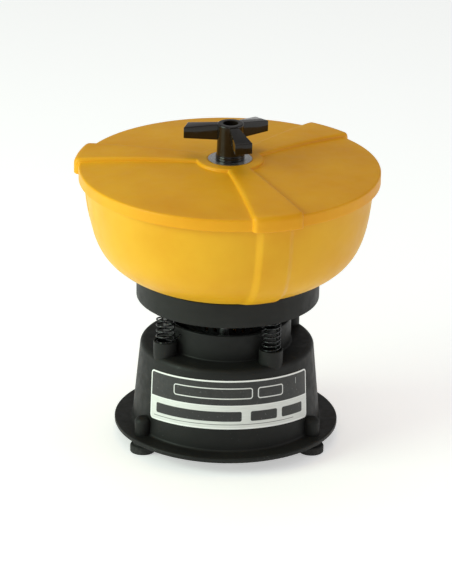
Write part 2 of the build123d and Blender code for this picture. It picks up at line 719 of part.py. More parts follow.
# Eccentric weight: half a disc on a collar, locked by a set screw on its light side.
WEIGHT_BOTTOM = 25.0
WEIGHT_H = 14.0
WEIGHT_R = 27.0
WEIGHT_COLLAR_R = 10.0
with BuildPart() as eccentric_weight:
    with BuildSketch(Plane.XY.offset(WEIGHT_BOTTOM)):
        Circle(WEIGHT_R)
        with Locations((0, -WEIGHT_R / 2)):
            Rectangle(2 * WEIGHT_R, WEIGHT_R, mode=Mode.SUBTRACT)
        Circle(WEIGHT_COLLAR_R)
        Circle(SHAFT_R, mode=Mode.SUBTRACT)
    extrude(amount=WEIGHT_H)
    with BuildSketch(radial_plane(0, -90, WEIGHT_BOTTOM + WEIGHT_H / 2)):
        Circle(2.5)
    extrude(amount=WEIGHT_COLLAR_R + 1, mode=Mode.SUBTRACT)
eccentric_weight.part.label = "eccentric_weight"
export_step(eccentric_weight.part, "parts/eccentric_weight.step")

with BuildPart() as weight_screw:
    with BuildSketch(radial_plane(SHAFT_R, -90, WEIGHT_BOTTOM + WEIGHT_H / 2)):
        Circle(2.45)
    extrude(amount=5.5)
    with BuildSketch(radial_plane(SHAFT_R + 5.5, -90, WEIGHT_BOTTOM + WEIGHT_H / 2)):
        RegularPolygon(1.25, 6, major_radius=False)
    extrude(amount=-2.5, mode=Mode.SUBTRACT)
weight_screw.part.label = "weight_screw"
export_step(weight_screw.part, "parts/weight_screw.step")

# ================================================================ BOWL
# The wall is one smooth curve from the rim down to the ring, then a shallow curve to the flat bottom.
RING_EDGE = (70.2, 135.0)
RIM_BEAD_R = 111.7
CONE_FOOT_R = 26.0
CONE_HEAD_R = 8.5
CONE_HOLE_R = 4.2

# Three ribs on the outside, as wide as they are at the rim all the way down.
with BuildPart() as bowl_ribs:
    with BuildSketch(Plane.XZ):
        with BuildLine():
            Line((BOWL_RIM_R - 1, 209.2), (112.9, 209.2))
            Bezier((112.9, 209.2), (109.2, 162.2), (102.8, 145.0), (71.8, 134.9))
            Line((71.8, 134.9), (71.2, 136.4))
            Bezier((71.2, 136.4), (99.6, 148.4), (105.4, 163.6), (BOWL_RIM_R - 1, 209.2))
        make_face()
    revolve(axis=Axis.Z)
    with BuildSketch(Plane.XY.offset(100)):
        with PolarLocations(75, 3, RIB_ANGLE):
            Rectangle(90, RIB_W)
    extrude(amount=150, mode=Mode.INTERSECT)

with BuildPart() as bowl:
    with BuildSketch(Plane.XZ) as bowl_profile:
        with BuildLine():
            Bezier((BOWL_RIM_R, LIP_Z), (106.3, 163.2), (100.3, 147.7), RING_EDGE)
            Bezier(RING_EDGE, (60, 130.7), (50, BOWL_BOTTOM), (40, BOWL_BOTTOM))
            Polyline(
                (40, BOWL_BOTTOM),
                (CONE_FOOT_R - 5, BOWL_BOTTOM),
                (CONE_HOLE_R, CONE_TOP - 12),
                (CONE_HOLE_R, CONE_TOP),
                (CONE_HEAD_R, CONE_TOP),
                (CONE_HEAD_R, CONE_TOP - 14),
                (CONE_FOOT_R, BOWL_BOTTOM + BOWL_WALL),
                (40, BOWL_BOTTOM + BOWL_WALL),
            )
            Bezier(
                (40, BOWL_BOTTOM + BOWL_WALL),
                (50, BOWL_BOTTOM + BOWL_WALL),
                (59.5, 133.8),
                (69.0, 137.8),
            )
            Bezier((69.0, 137.8), (98.6, 150.5), (103.4, 164.6), (BOWL_RIM_R - BOWL_WALL, LIP_Z))
            Polyline(
                (BOWL_RIM_R - BOWL_WALL, LIP_Z),
                (BOWL_RIM_R - BOWL_WALL, BOWL_RIM_TOP),
                (RIM_BEAD_R, BOWL_RIM_TOP),
                (RIM_BEAD_R, BOWL_RIM_TOP - 3),
                (BOWL_RIM_R, BOWL_RIM_TOP - 4.5),
                (BOWL_RIM_R, LIP_Z),
            )
        make_face()
        fillet(corner(bowl_profile, CONE_FOOT_R, BOWL_BOTTOM + BOWL_WALL), 6.0)
        fillet(corner(bowl_profile, RIM_BEAD_R, BOWL_RIM_TOP), 0.8)
        fillet(corner(bowl_profile, BOWL_RIM_R - BOWL_WALL, BOWL_RIM_TOP), 0.8)
    revolve(axis=Axis.Z)
    with BuildSketch(Plane.XY.offset(BOWL_SEAT_Z)):
        Circle(48)
        Circle(44, mode=Mode.SUBTRACT)
    extrude(amount=3.5)
    add(bowl_ribs.part)
bowl.part.label = "bowl"
export_step(bowl.part, "parts/bowl.step")

# ================================================================ LID
# Bands widen from the hub to the rim, where each ends in a tab that overhangs the skirt.
with BuildPart() as lid_bands:
    with BuildSketch(Plane.XZ) as band_profile:
        with BuildLine():
            Line((BAND_ROOT_R, 221.5), (BAND_ROOT_R, LID_HUB_TOP))
            ThreePointArc((BAND_ROOT_R, LID_HUB_TOP), (70, 225.4), (TAB_R, TAB_TOP))
            Polyline(
                (TAB_R, TAB_TOP),
                (TAB_R, TAB_BOTTOM),
                (LID_R - 0.8, TAB_BOTTOM),
                (LID_R - 0.8, 214),
                (112, 218),
                (70, 221.0),
                (BAND_ROOT_R, 221.5),
            )
        make_face()
        fillet(corner(band_profile, TAB_R, TAB_TOP), 4.5)
    revolve(axis=Axis.Z)
    with BuildSketch(Plane.XY.offset(200)):
        for band in range(3):
            with BuildLine(Plane.XY.rotated((0, 0, RIB_ANGLE + 120 * band))):
                left_edge = ThreePointArc(
                    (BAND_ROOT_R, BAND_ROOT_HALF_W),
                    (BAND_MID_R, BAND_MID_HALF_W),
                    (BAND_RIM_R, BAND_RIM_HALF_W),
                )
                right_edge = ThreePointArc(
                    (BAND_ROOT_R, -BAND_ROOT_HALF_W),
                    (BAND_MID_R, -BAND_MID_HALF_W),
                    (BAND_RIM_R, -BAND_RIM_HALF_W),
                )
                Polyline(
                    left_edge @ 1,
                    (TAB_R + 5, BAND_RIM_HALF_W),
                    (TAB_R + 5, -BAND_RIM_HALF_W),
                    right_edge @ 1,
                )
                Line(left_edge @ 0, right_edge @ 0)
            make_face()
    extrude(amount=40, mode=Mode.INTERSECT)

with BuildPart() as lid:
    with BuildSketch(Plane.XZ) as lid_profile:
        with BuildLine():
            Line((LID_R, LID_BOTTOM), (LID_R, LID_EDGE_TOP))
            ThreePointArc((LID_R, LID_EDGE_TOP), (72, 222.3), (LID_HUB_R, LID_DISC_TOP))
            Polyline(
                (LID_HUB_R, LID_DISC_TOP),
                (LID_HUB_R, LID_HUB_TOP),
                (WASHER_SEAT_R, LID_HUB_TOP),
                (WASHER_SEAT_R, WASHER_SEAT_Z),
                (STUD_R + 0.4, WASHER_SEAT_Z),
                (STUD_R + 0.4, CONE_TOP + 0.3),
                (10, CONE_TOP + 0.3),
                (10, 221.3),
            )
            ThreePointArc((10, 221.3), (66, 219.9), (106, 217.0))
            Polyline(
                (106, 217.0),
                (106, BOWL_RIM_TOP),
                (LID_R - LID_WALL, BOWL_RIM_TOP),
                (LID_R - LID_WALL, LID_BOTTOM),
                (LID_R, LID_BOTTOM),
            )
        make_face()
        fillet(corner(lid_profile, LID_R, LID_EDGE_TOP), 1.6)
        fillet(corner(lid_profile, LID_HUB_R, LID_HUB_TOP), 1.0)
        fillet(corner(lid_profile, LID_HUB_R, LID_DISC_TOP), 1.2)
    revolve(axis=Axis.Z)
    add(lid_bands.part)
lid.part.label = "lid"
export_step(lid.part, "parts/lid.step")

lid_washer = tube(WASHER_R, STUD_R + LOOSE_GAP, WASHER_SEAT_Z, WASHER_TOP)
lid_washer.part.label = "lid_washer"
export_step(lid_washer.part, "parts/lid_washer.step")

# ================================================================ KNOB
INSERT_TOP = 243.0
INSERT_R = 4.6
KNOB_HOLE_R = 5.7
HUB_FOOT_R = 11.1
HUB_HEAD_R = 10.0
with BuildPart() as knob:
    for arm in range(3):
        with BuildSketch(Plane.XY.offset(ARM_BOTTOM).rotated((0, 0, KNOB_ANGLE + 120 * arm))):
            with BuildLine():
                Polyline(
                    (0, ARM_ROOT_HALF_W),
                    (ARM_ROOT_R, ARM_ROOT_HALF_W),
                    (ARM_TIP_R, ARM_TIP_HALF_W),
                    (ARM_TIP_R, -ARM_TIP_HALF_W),
                    (ARM_ROOT_R, -ARM_ROOT_HALF_W),
                    (0, -ARM_ROOT_HALF_W),
                    close=True,
                )
            make_face()
        extrude(amount=KNOB_TOP - ARM_BOTTOM)
    # the arms' tops slope down towards the tips
    with BuildSketch(Plane.XZ):
        with BuildLine():
            Polyline(
                (9.0, KNOB_TOP + 1),
                (9.0, KNOB_TOP - 0.6),
                (ARM_TIP_R + 5, ARM_TIP_TOP - 0.8),
                (ARM_TIP_R + 5, KNOB_TOP + 1),
                close=True,
            )
        make_face()
    revolve(axis=Axis.Z, mode=Mode.SUBTRACT)
    tip_edges = knob.edges().filter_by(Axis.Z).sort_by_distance((0, 0, ARM_BOTTOM))[-6:]
    fillet(tip_edges, 0.8)
    with BuildSketch(Plane.XZ) as hub_profile:
        with BuildLine():
            Polyline(
                (0, WASHER_TOP),
                (HUB_FOOT_R, WASHER_TOP),
                (HUB_FOOT_R, WASHER_TOP + 3.4),
                (10.5, WASHER_TOP + 4.4),
                (HUB_HEAD_R, KNOB_TOP),
                (0, KNOB_TOP),
                close=True,
            )
        make_face()
        fillet(corner(hub_profile, HUB_HEAD_R, KNOB_TOP), 0.9)
        fillet(corner(hub_profile, HUB_FOOT_R, WASHER_TOP), 0.6)
    revolve(axis=Axis.Z)
    with BuildSketch(Plane.XY.offset(INSERT_TOP)):
        Circle(KNOB_HOLE_R)
    extrude(amount=KNOB_TOP - INSERT_TOP, mode=Mode.SUBTRACT)
    with BuildSketch(Plane.XY.offset(WASHER_TOP)):
        Circle(INSERT_R)
    extrude(amount=INSERT_TOP - WASHER_TOP, mode=Mode.SUBTRACT)
knob.part.label = "knob"
export_step(knob.part, "parts/knob.step")

knob_insert = tube(INSERT_R, STUD_R + RUNNING_GAP, WASHER_TOP + 0.5, INSERT_TOP)
knob_insert.part.label = "knob_insert"
export_step(knob_insert.part, "parts/knob_insert.step")
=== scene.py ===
"""Vibratory rock tumbler: looks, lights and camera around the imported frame.

Outlines are in millimetres and turned into metres when a mesh is made. +Z is up, the origin is the
centre of the base on the floor, and -Y is the front. Angles are in degrees from +X towards +Y.
"""

import json
from math import asin, cos, hypot, pi, radians, sin, sqrt, tan

import bmesh
import bpy
from mathutils import Matrix, Vector


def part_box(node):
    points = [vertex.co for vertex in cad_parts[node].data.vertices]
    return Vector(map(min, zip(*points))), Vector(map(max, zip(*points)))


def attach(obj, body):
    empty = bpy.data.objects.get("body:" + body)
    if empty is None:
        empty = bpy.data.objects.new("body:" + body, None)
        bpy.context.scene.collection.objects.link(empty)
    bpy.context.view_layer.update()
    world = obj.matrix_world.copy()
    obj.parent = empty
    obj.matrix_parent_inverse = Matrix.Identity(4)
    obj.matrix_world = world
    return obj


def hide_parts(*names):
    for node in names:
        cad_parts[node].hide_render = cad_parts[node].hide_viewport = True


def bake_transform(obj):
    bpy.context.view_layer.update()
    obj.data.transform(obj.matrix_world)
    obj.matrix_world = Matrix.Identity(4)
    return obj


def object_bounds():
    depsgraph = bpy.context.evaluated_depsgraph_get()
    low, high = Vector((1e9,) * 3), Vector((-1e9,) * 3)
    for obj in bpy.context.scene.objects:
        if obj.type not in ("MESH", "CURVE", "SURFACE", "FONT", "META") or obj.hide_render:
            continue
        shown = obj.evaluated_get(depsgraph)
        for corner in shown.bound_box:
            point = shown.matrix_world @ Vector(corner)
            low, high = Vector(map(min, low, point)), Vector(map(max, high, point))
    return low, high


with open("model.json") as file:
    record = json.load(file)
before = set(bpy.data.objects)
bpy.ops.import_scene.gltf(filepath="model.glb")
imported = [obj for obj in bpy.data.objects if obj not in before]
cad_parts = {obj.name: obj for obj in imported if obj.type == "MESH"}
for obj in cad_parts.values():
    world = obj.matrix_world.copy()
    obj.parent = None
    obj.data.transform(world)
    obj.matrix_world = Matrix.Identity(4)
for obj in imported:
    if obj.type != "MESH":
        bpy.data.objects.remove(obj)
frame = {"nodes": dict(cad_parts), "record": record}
cad_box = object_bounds()

MM = 0.001
SHARP_ANGLE = radians(38)
KNOB_SHARP_ANGLE = radians(32)


def node_box_mm(node):
    """Lowest and highest corner of a CAD node, in millimetres."""
    low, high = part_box(node)
    return low / MM, high / MM


# ================================================================ MESH HELPERS
def polar(radius, angle, z=0.0):
    return Vector((radius * cos(radians(angle)), radius * sin(radians(angle)), z))


def mix(a, b, share):
    return a + (b - a) * share


def steps(first, last, count):
    """count values from first to last, both included."""
    return [mix(first, last, i / (count - 1)) for i in range(count)]


def line(start, end, count):
    """Points on a straight run, without its last point."""
    return [(mix(start[0], end[0], i / count), mix(start[1], end[1], i / count)) for i in range(count)]


def bezier(points, count, first=0.0, last=1.0):
    """Points on a quadratic or cubic Bezier curve, both ends included."""
    out = []
    for t in steps(first, last, count):
        level = [Vector(p) for p in points]
        while len(level) > 1:
            level = [a.lerp(b, t) for a, b in zip(level, level[1:])]
        out.append(tuple(level[0]))
    return out


def dome(start, middle, end):
    """The height function z(r) of the circle through three points of a shallow dome."""
    (x1, y1), (x2, y2), (x3, y3) = start, middle, end
    det = 2 * (x1 * (y2 - y3) + x2 * (y3 - y1) + x3 * (y1 - y2))
    s1, s2, s3 = x1 * x1 + y1 * y1, x2 * x2 + y2 * y2, x3 * x3 + y3 * y3
    centre_x = (s1 * (y2 - y3) + s2 * (y3 - y1) + s3 * (y1 - y2)) / det
    centre_y = (s1 * (x3 - x2) + s2 * (x1 - x3) + s3 * (x2 - x1)) / det
    radius = hypot(x1 - centre_x, y1 - centre_y)
    return lambda r: centre_y + sqrt(radius**2 - (r - centre_x) ** 2)


def new_piece(name, verts, faces, material, body=None, sharp=SHARP_ANGLE):
    """A mesh object from millimetre coordinates, shaded smooth except at sharp edges."""
    mesh = bpy.data.meshes.new(name)
    mesh.from_pydata([tuple(Vector(v) * MM) for v in verts], [], faces)
    mesh.validate()
    builder = bmesh.new()
    builder.from_mesh(mesh)
    bmesh.ops.recalc_face_normals(builder, faces=builder.faces)
    builder.to_mesh(mesh)
    builder.free()
    mesh.shade_smooth()
    mesh.set_sharp_from_angle(angle=sharp)
    mesh.materials.append(material)
    piece = bpy.data.objects.new(name, mesh)
    bpy.context.scene.collection.objects.link(piece)
    if body:
        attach(piece, body)
    return piece


def torus_faces(rings, around):
    """Quads of a grid that closes on itself both ways, ring after ring."""
    faces = []
    for i in range(rings):
        for j in range(around):
            a, b = i * around + j, i * around + (j + 1) % around
            k = (i + 1) % rings
            faces.append((a, b, k * around + (j + 1) % around, k * around + j))
    return faces


# ================================================================ RAISED BANDS AND RIBS
def edge_columns(inset, outset, root_share, count=5):
    """(offset, lift) across one soft band edge: a convex top edge, then a concave root."""
    columns = []
    for i in range(count + 1):
        turn = radians(90 * i / count)
        columns.append((-inset * (1 - sin(turn)), root_share + (1 - root_share) * cos(turn)))
    for i in range(1, count + 1):
        turn = radians(90 * i / count)
        columns.append((outset * (1 - cos(turn)), root_share * (1 - sin(turn))))
    return columns


def sloped_columns(inset, outset, count=10):
    """(offset, lift) across a band edge that slopes evenly, with rounded ends."""
    return [(mix(-inset, outset, share), 0.5 + 0.5 * cos(pi * share)) for share in steps(0, 1, count)]


def banded_shell(plain, raised, half_width, inner_r, first_angle, edge, flat, gap):
    """Vertices of a shell of revolution with three raised bands across it.

    plain and raised are closed (r, z) outlines of equal length, one between the bands and one along their
    middle. half_width(r) is the band's half width. Inside inner_r the columns run straight to the axis.
    """
    inset, outset = -edge[0][0], edge[-1][0]
    columns = [("band", share, 1.0) for share in steps(-1, 1, flat)[1:-1]]
    columns = [("left", offset, lift) for offset, lift in reversed(edge)] + columns
    columns += [("right", offset, lift) for offset, lift in edge]
    columns += [("gap", share, 0.0) for share in steps(0, 1, gap)[1:-1]]

    def angle(kind, value, r):
        r = max(r, inner_r)
        half = half_width(r)
        if kind == "band":
            return asin(value * (half - inset) / r)
        if kind == "right":
            return asin((half + value) / r)
        if kind == "left":
            return -asin((half + value) / r)
        outer = asin((half + outset) / r)
        return mix(outer, 2 * pi / 3 - outer, value)

    verts = []
    for (r0, z0), (r1, z1) in zip(plain, raised):
        for sector in range(3):
            start = radians(first_angle + 120 * sector)
            for kind, value, lift in columns:
                r, z = mix(r0, r1, lift), mix(z0, z1, lift)
                phi = start + angle(kind, value, r)
                verts.append((r * cos(phi), r * sin(phi), z))
    return verts, torus_faces(len(plain), 3 * len(columns))


# ================================================================ MATERIALS
class Surface:
    """One procedural material, made with short calls. Coordinates are the row frame's, in metres."""

    def __init__(self, name, color, roughness, metallic=0.0, specular=0.5):
        self.material = bpy.data.materials.new(name)
        self.material.use_nodes = True
        self.tree = self.material.node_tree
        self.tree.nodes.clear()
        self.shader = self.tree.nodes.new("ShaderNodeBsdfPrincipled")
        output = self.tree.nodes.new("ShaderNodeOutputMaterial")
        self.tree.links.new(self.shader.outputs["BSDF"], output.inputs["Surface"])
        self.place = self.tree.nodes.new("ShaderNodeTexCoord").outputs["Object"]
        self.shader.inputs["Base Color"].default_value = (*color, 1)
        self.shader.inputs["Roughness"].default_value = roughness
        self.shader.inputs["Metallic"].default_value = metallic
        self.shader.inputs["Specular IOR Level"].default_value = specular
        self.height = None

    def put(self, socket, value):
        """Joins an output to a socket, or sets the socket's number."""
        if isinstance(value, bpy.types.NodeSocket):
            self.tree.links.new(value, socket)
        elif isinstance(value, tuple) and socket.type == "RGBA":
            socket.default_value = (*value, 1)
        else:
            socket.default_value = value

    def math(self, operation, a, b=0.0):
        node = self.tree.nodes.new("ShaderNodeMath")
        node.operation = operation
        for socket, value in zip(node.inputs, (a, b)):
            self.put(socket, value)
        return node.outputs[0]

    def length(self, vector):
        node = self.tree.nodes.new("ShaderNodeVectorMath")
        node.operation = "LENGTH"
        self.put(node.inputs[0], vector)
        return node.outputs["Value"]

    def split(self, vector):
        node = self.tree.nodes.new("ShaderNodeSeparateXYZ")
        self.put(node.inputs[0], vector)
        return node.outputs

    def join(self, x, y, z):
        node = self.tree.nodes.new("ShaderNodeCombineXYZ")
        for socket, value in zip(node.inputs, (x, y, z)):
            self.put(socket, value)
        return node.outputs[0]

    def noise(self, size, detail=2.0, rough=0.5, at=None):
        """Noise whose blotches are about size metres across."""
        node = self.tree.nodes.new("ShaderNodeTexNoise")
        self.put(node.inputs["Vector"], at or self.place)
        node.inputs["Scale"].default_value = 1 / size
        node.inputs["Detail"].default_value = detail
        node.inputs["Roughness"].default_value = rough
        return node.outputs["Fac"]

    def fade(self, value, low, high, to_low=0.0, to_high=1.0):
        """Maps low..high to to_low..to_high, held at both ends."""
        node = self.tree.nodes.new("ShaderNodeMapRange")
        for socket, number in zip(node.inputs, (value, low, high, to_low, to_high)):
            self.put(socket, number)
        return node.outputs[0]

    def blend(self, share, a, b):
        node = self.tree.nodes.new("ShaderNodeMix")
        node.data_type = "RGBA"
        self.put(node.inputs["Factor"], share)
        self.put(node.inputs[6], a)
        self.put(node.inputs[7], b)
        return node.outputs[2]

    def color(self, value):
        self.put(self.shader.inputs["Base Color"], value)

    def roughness(self, value):
        self.put(self.shader.inputs["Roughness"], value)

    def bump(self, height, depth, strength=1.0):
        """Adds a relief of that depth in metres. Several calls add up."""
        node = self.tree.nodes.new("ShaderNodeBump")
        node.inputs["Strength"].default_value = strength
        node.inputs["Distance"].default_value = depth
        self.put(node.inputs["Height"], height)
        if self.height:
            self.tree.links.new(self.height, node.inputs["Normal"])
        self.height = node.outputs["Normal"]
        self.tree.links.new(self.height, self.shader.inputs["Normal"])

    def radius(self):
        """Distance from the Z axis."""
        x, y, _ = self.split(self.place)
        return self.math("SQRT", self.math("ADD", self.math("MULTIPLY", x, x), self.math("MULTIPLY", y, y)))


def shade(color, factor):
    return tuple(min(1.0, c * factor) for c in color)


def base_plastic():
    """Charcoal moulding with a fine spark-eroded grain, dusty and scuffed along the flange's rim."""
    dark = (0.0120, 0.0122, 0.0114)
    s = Surface("base_plastic", dark, 0.5, specular=0.2)
    cloud = s.noise(0.045, 4, 0.6)
    tone = s.blend(s.fade(cloud, 0.35, 0.7), shade(dark, 0.86), shade(dark, 1.2))
    height = s.split(s.place)[2]
    rim = s.math("MULTIPLY", s.fade(s.radius(), 0.0840, 0.0866), s.fade(height, 0.0165, 0.0150))
    specks = s.fade(s.noise(0.0014, 3, 0.65), 0.58, 0.70)
    patches = s.fade(s.noise(0.012, 2), 0.42, 0.62)
    wear = s.math("MULTIPLY", s.math("MULTIPLY", rim, specks), patches)
    worn = s.blend(s.math("MULTIPLY", wear, 0.35), tone, (0.12, 0.12, 0.115))
    dust = s.math("MULTIPLY", s.fade(s.noise(0.0009, 2), 0.66, 0.76), s.fade(s.noise(0.03, 2), 0.45, 0.65))
    s.color(s.blend(s.math("MULTIPLY", dust, 0.22), worn, (0.19, 0.19, 0.18)))
    s.roughness(s.fade(s.noise(0.006, 3), 0.3, 0.7, 0.44, 0.58))
    s.bump(s.noise(0.0007, 2, 0.6), 0.00004, 0.55)
    s.bump(s.noise(0.02, 2), 0.00025, 0.12)
    return s.material


def carriage_plastic():
    """The ring's moulding: the same compound, a little smoother, with faint flow marks."""
    dark = (0.0135, 0.0137, 0.0126)
    s = Surface("carriage_plastic", dark, 0.5, specular=0.2)
    x, y, z = s.split(s.place)
    flow = s.noise(0.03, 3, 0.5, at=s.join(x, y, s.math("MULTIPLY", z, 3.0)))
    s.color(s.blend(s.fade(flow, 0.3, 0.7), shade(dark, 0.84), shade(dark, 1.22)))
    s.roughness(s.fade(s.noise(0.008, 3), 0.3, 0.7, 0.42, 0.56))
    s.bump(s.noise(0.0007, 2, 0.6), 0.00004, 0.5)
    return s.material


def yellow_plastic(name, tone, tool_marks):
    """Tough yellow moulding: satin skin, cloudy pigment, fine scuffs and a soft orange peel."""
    s = Surface(name, tone, 0.42, specular=0.24)
    s.shader.inputs["Subsurface Weight"].default_value = 0.12
    s.shader.inputs["Subsurface Radius"].default_value = (1.0, 0.42, 0.08)
    s.shader.inputs["Subsurface Scale"].default_value = 0.004
    pale = (tone[0] * 1.05, tone[1] * 1.12, tone[2] * 1.6)
    deep = (tone[0] * 0.95, tone[1] * 0.90, tone[2] * 0.6)
    cloud = s.blend(s.fade(s.noise(0.06, 4, 0.55), 0.32, 0.70), deep, pale)
    x, y, z = s.split(s.place)
    scuff_place = s.join(s.math("MULTIPLY", x, 0.25), y, s.math("MULTIPLY", z, 1.8))
    streaks = s.fade(s.noise(0.0035, 4, 0.7, at=scuff_place), 0.62, 0.74)
    scuffs = s.math("MULTIPLY", streaks, s.fade(s.noise(0.035), 0.5, 0.68))
    s.color(s.blend(s.math("MULTIPLY", scuffs, 0.16), cloud, (0.93, 0.66, 0.16)))
    satin = s.fade(s.noise(0.009, 3), 0.3, 0.7, 0.36, 0.47)
    s.roughness(s.math("ADD", satin, s.math("MULTIPLY", scuffs, 0.12)))
    s.bump(s.noise(0.0016, 2, 0.5), 0.00003, 0.5)
    s.bump(s.noise(0.028, 2), 0.0005, tool_marks)
    return s.material


def knob_plastic():
    """Glossy smoky black, with hairline scratches and a brownish depth."""
    dark = (0.0045, 0.0035, 0.0028)
    s = Surface("knob_plastic", dark, 0.1, specular=0.3)
    s.shader.inputs["Coat Weight"].default_value = 0.1
    s.shader.inputs["Coat Roughness"].default_value = 0.06
    s.color(s.blend(s.fade(s.noise(0.012, 3), 0.35, 0.7), dark, (0.013, 0.0085, 0.006)))
    x, y, z = s.split(s.place)
    hair = s.noise(0.0008, 2, 0.5, at=s.join(s.math("MULTIPLY", x, 0.08), y, z))
    gloss = s.fade(s.noise(0.006, 2), 0.3, 0.7, 0.05, 0.12)
    s.roughness(s.math("ADD", s.fade(hair, 0.62, 0.72, 0.0, 0.14), gloss))
    s.bump(s.noise(0.004, 2), 0.00008, 0.25)
    return s.material


def turned_metal(name, color, roughness, tarnish=0.25, ring=0.0006):
    """Metal with fine turning rings about the Z axis and light tarnish."""
    s = Surface(name, color, roughness, metallic=1.0)
    rings = s.noise(ring, 2, 0.5, at=s.join(s.radius(), s.split(s.place)[2], 0.0))
    patch = s.fade(s.noise(0.006, 4, 0.6), 0.40, 0.72)
    s.color(s.blend(s.math("MULTIPLY", patch, tarnish), color, shade(color, 0.45)))
    ring_roughness = s.fade(rings, 0.3, 0.7, roughness * 0.75, roughness * 1.25)
    s.roughness(s.math("ADD", ring_roughness, s.math("MULTIPLY", patch, 0.12)))
    s.bump(rings, 0.00002, 0.5)
    return s.material


def spring_steel():
    """Dark oil-hardened wire, drawn smooth, with traces of rust in spots."""
    s = Surface("spring_steel", (0.05, 0.05, 0.052), 0.28, metallic=0.9)
    patch = s.fade(s.noise(0.0022, 4, 0.6), 0.45, 0.68)
    rust = s.fade(s.noise(0.004, 4, 0.7), 0.62, 0.74)
    base = s.blend(patch, (0.035, 0.036, 0.038), (0.10, 0.10, 0.102))
    s.color(s.blend(s.math("MULTIPLY", rust, 0.5), base, (0.09, 0.045, 0.022)))
    s.roughness(s.math("ADD", s.fade(patch, 0, 1, 0.24, 0.36), s.math("MULTIPLY", rust, 0.3)))
    s.bump(s.noise(0.0004, 2), 0.00001, 0.5)
    return s.material


def rubber(name, tone, dust_height):
    """Matt black rubber, greyer with dust low down."""
    s = Surface(name, tone, 0.78, specular=0.3)
    low = s.fade(s.split(s.place)[2], dust_height, 0.0)
    dust = s.math("MULTIPLY", s.fade(s.noise(0.0015, 4, 0.65), 0.45, 0.68), s.fade(low, 0, 1, 0.12, 0.7))
    s.color(s.blend(s.math("MULTIPLY", dust, 0.5), tone, (0.13, 0.128, 0.12)))
    s.roughness(s.fade(s.noise(0.003, 3), 0.3, 0.7, 0.68, 0.86))
    s.bump(s.noise(0.0005, 2, 0.6), 0.00003, 0.5)
    return s.material


def lamination_steel():
    """Stacked varnished sheets: half-millimetre lines round the stack."""
    s = Surface("lamination_steel", (0.12, 0.12, 0.125), 0.4, metallic=0.55)
    z = s.split(s.place)[2]
    sheets = s.math("PINGPONG", s.math("DIVIDE", z, 0.0005), 1.0)
    edge = s.fade(sheets, 0.0, 0.35)
    stain = s.fade(s.noise(0.007, 4, 0.6), 0.4, 0.7)
    s.color(s.blend(edge, (0.03, 0.028, 0.026), s.blend(stain, (0.15, 0.15, 0.155), (0.10, 0.075, 0.05))))
    s.roughness(s.fade(stain, 0, 1, 0.32, 0.5))
    s.bump(edge, 0.00006, 0.6)
    return s.material


def winding_copper():
    """Enamelled wire laid in rows, with darker varnish between the turns."""
    s = Surface("winding_copper", (0.50, 0.19, 0.06), 0.28, metallic=0.85)
    s.shader.inputs["Coat Weight"].default_value = 0.5
    wires = s.math("PINGPONG", s.math("DIVIDE", s.radius(), 0.00028), 1.0)
    turn = s.fade(wires, 0.05, 0.6)
    varnish = s.fade(s.noise(0.003, 3), 0.4, 0.7)
    s.color(s.blend(turn, (0.12, 0.035, 0.012), s.blend(varnish, (0.56, 0.23, 0.075), (0.34, 0.11, 0.03))))
    s.bump(turn, 0.0001, 0.8)
    return s.material


def brushed_metal(name, color, roughness, stretch=(0.06, 1.0, 1.0), tarnish=0.2):
    """Metal with straight grain and a few stains."""
    s = Surface(name, color, roughness, metallic=1.0)
    x, y, z = s.split(s.place)
    grain_place = s.join(*(s.math("MULTIPLY", axis, scale) for axis, scale in zip((x, y, z), stretch)))
    grain = s.noise(0.0004, 3, 0.6, at=grain_place)
    stain = s.fade(s.noise(0.008, 4, 0.6), 0.45, 0.72)
    s.color(s.blend(s.math("MULTIPLY", stain, tarnish), color, shade(color, 0.5)))
    s.roughness(s.fade(grain, 0.3, 0.7, roughness * 0.75, roughness * 1.3))
    s.bump(grain, 0.00002, 0.4)
    return s.material


def cast_weight():
    """Cast iron with a rough oiled skin."""
    s = Surface("weight_steel", (0.13, 0.13, 0.13), 0.5, metallic=0.8)
    skin = s.noise(0.0016, 5, 0.65)
    s.color(s.blend(s.fade(skin, 0.35, 0.7), (0.07, 0.068, 0.066), (0.17, 0.168, 0.163)))
    s.roughness(s.fade(s.noise(0.006, 3), 0.3, 0.7, 0.36, 0.62))
    s.bump(skin, 0.00022, 0.6)
    return s.material


def moulded(name, tone, roughness, grain=0.0007):
    """Plain moulded plastic or fibre with cloudy colour and fine grain."""
    s = Surface(name, tone, roughness, specular=0.45)
    s.color(s.blend(s.fade(s.noise(0.010, 4, 0.6), 0.35, 0.68), shade(tone, 0.82), shade(tone, 1.12)))
    s.roughness(s.fade(s.noise(0.004, 3), 0.3, 0.7, roughness * 0.85, min(1.0, roughness * 1.15)))
    s.bump(s.noise(grain, 3, 0.6), 0.00004, 0.5)
    return s.material


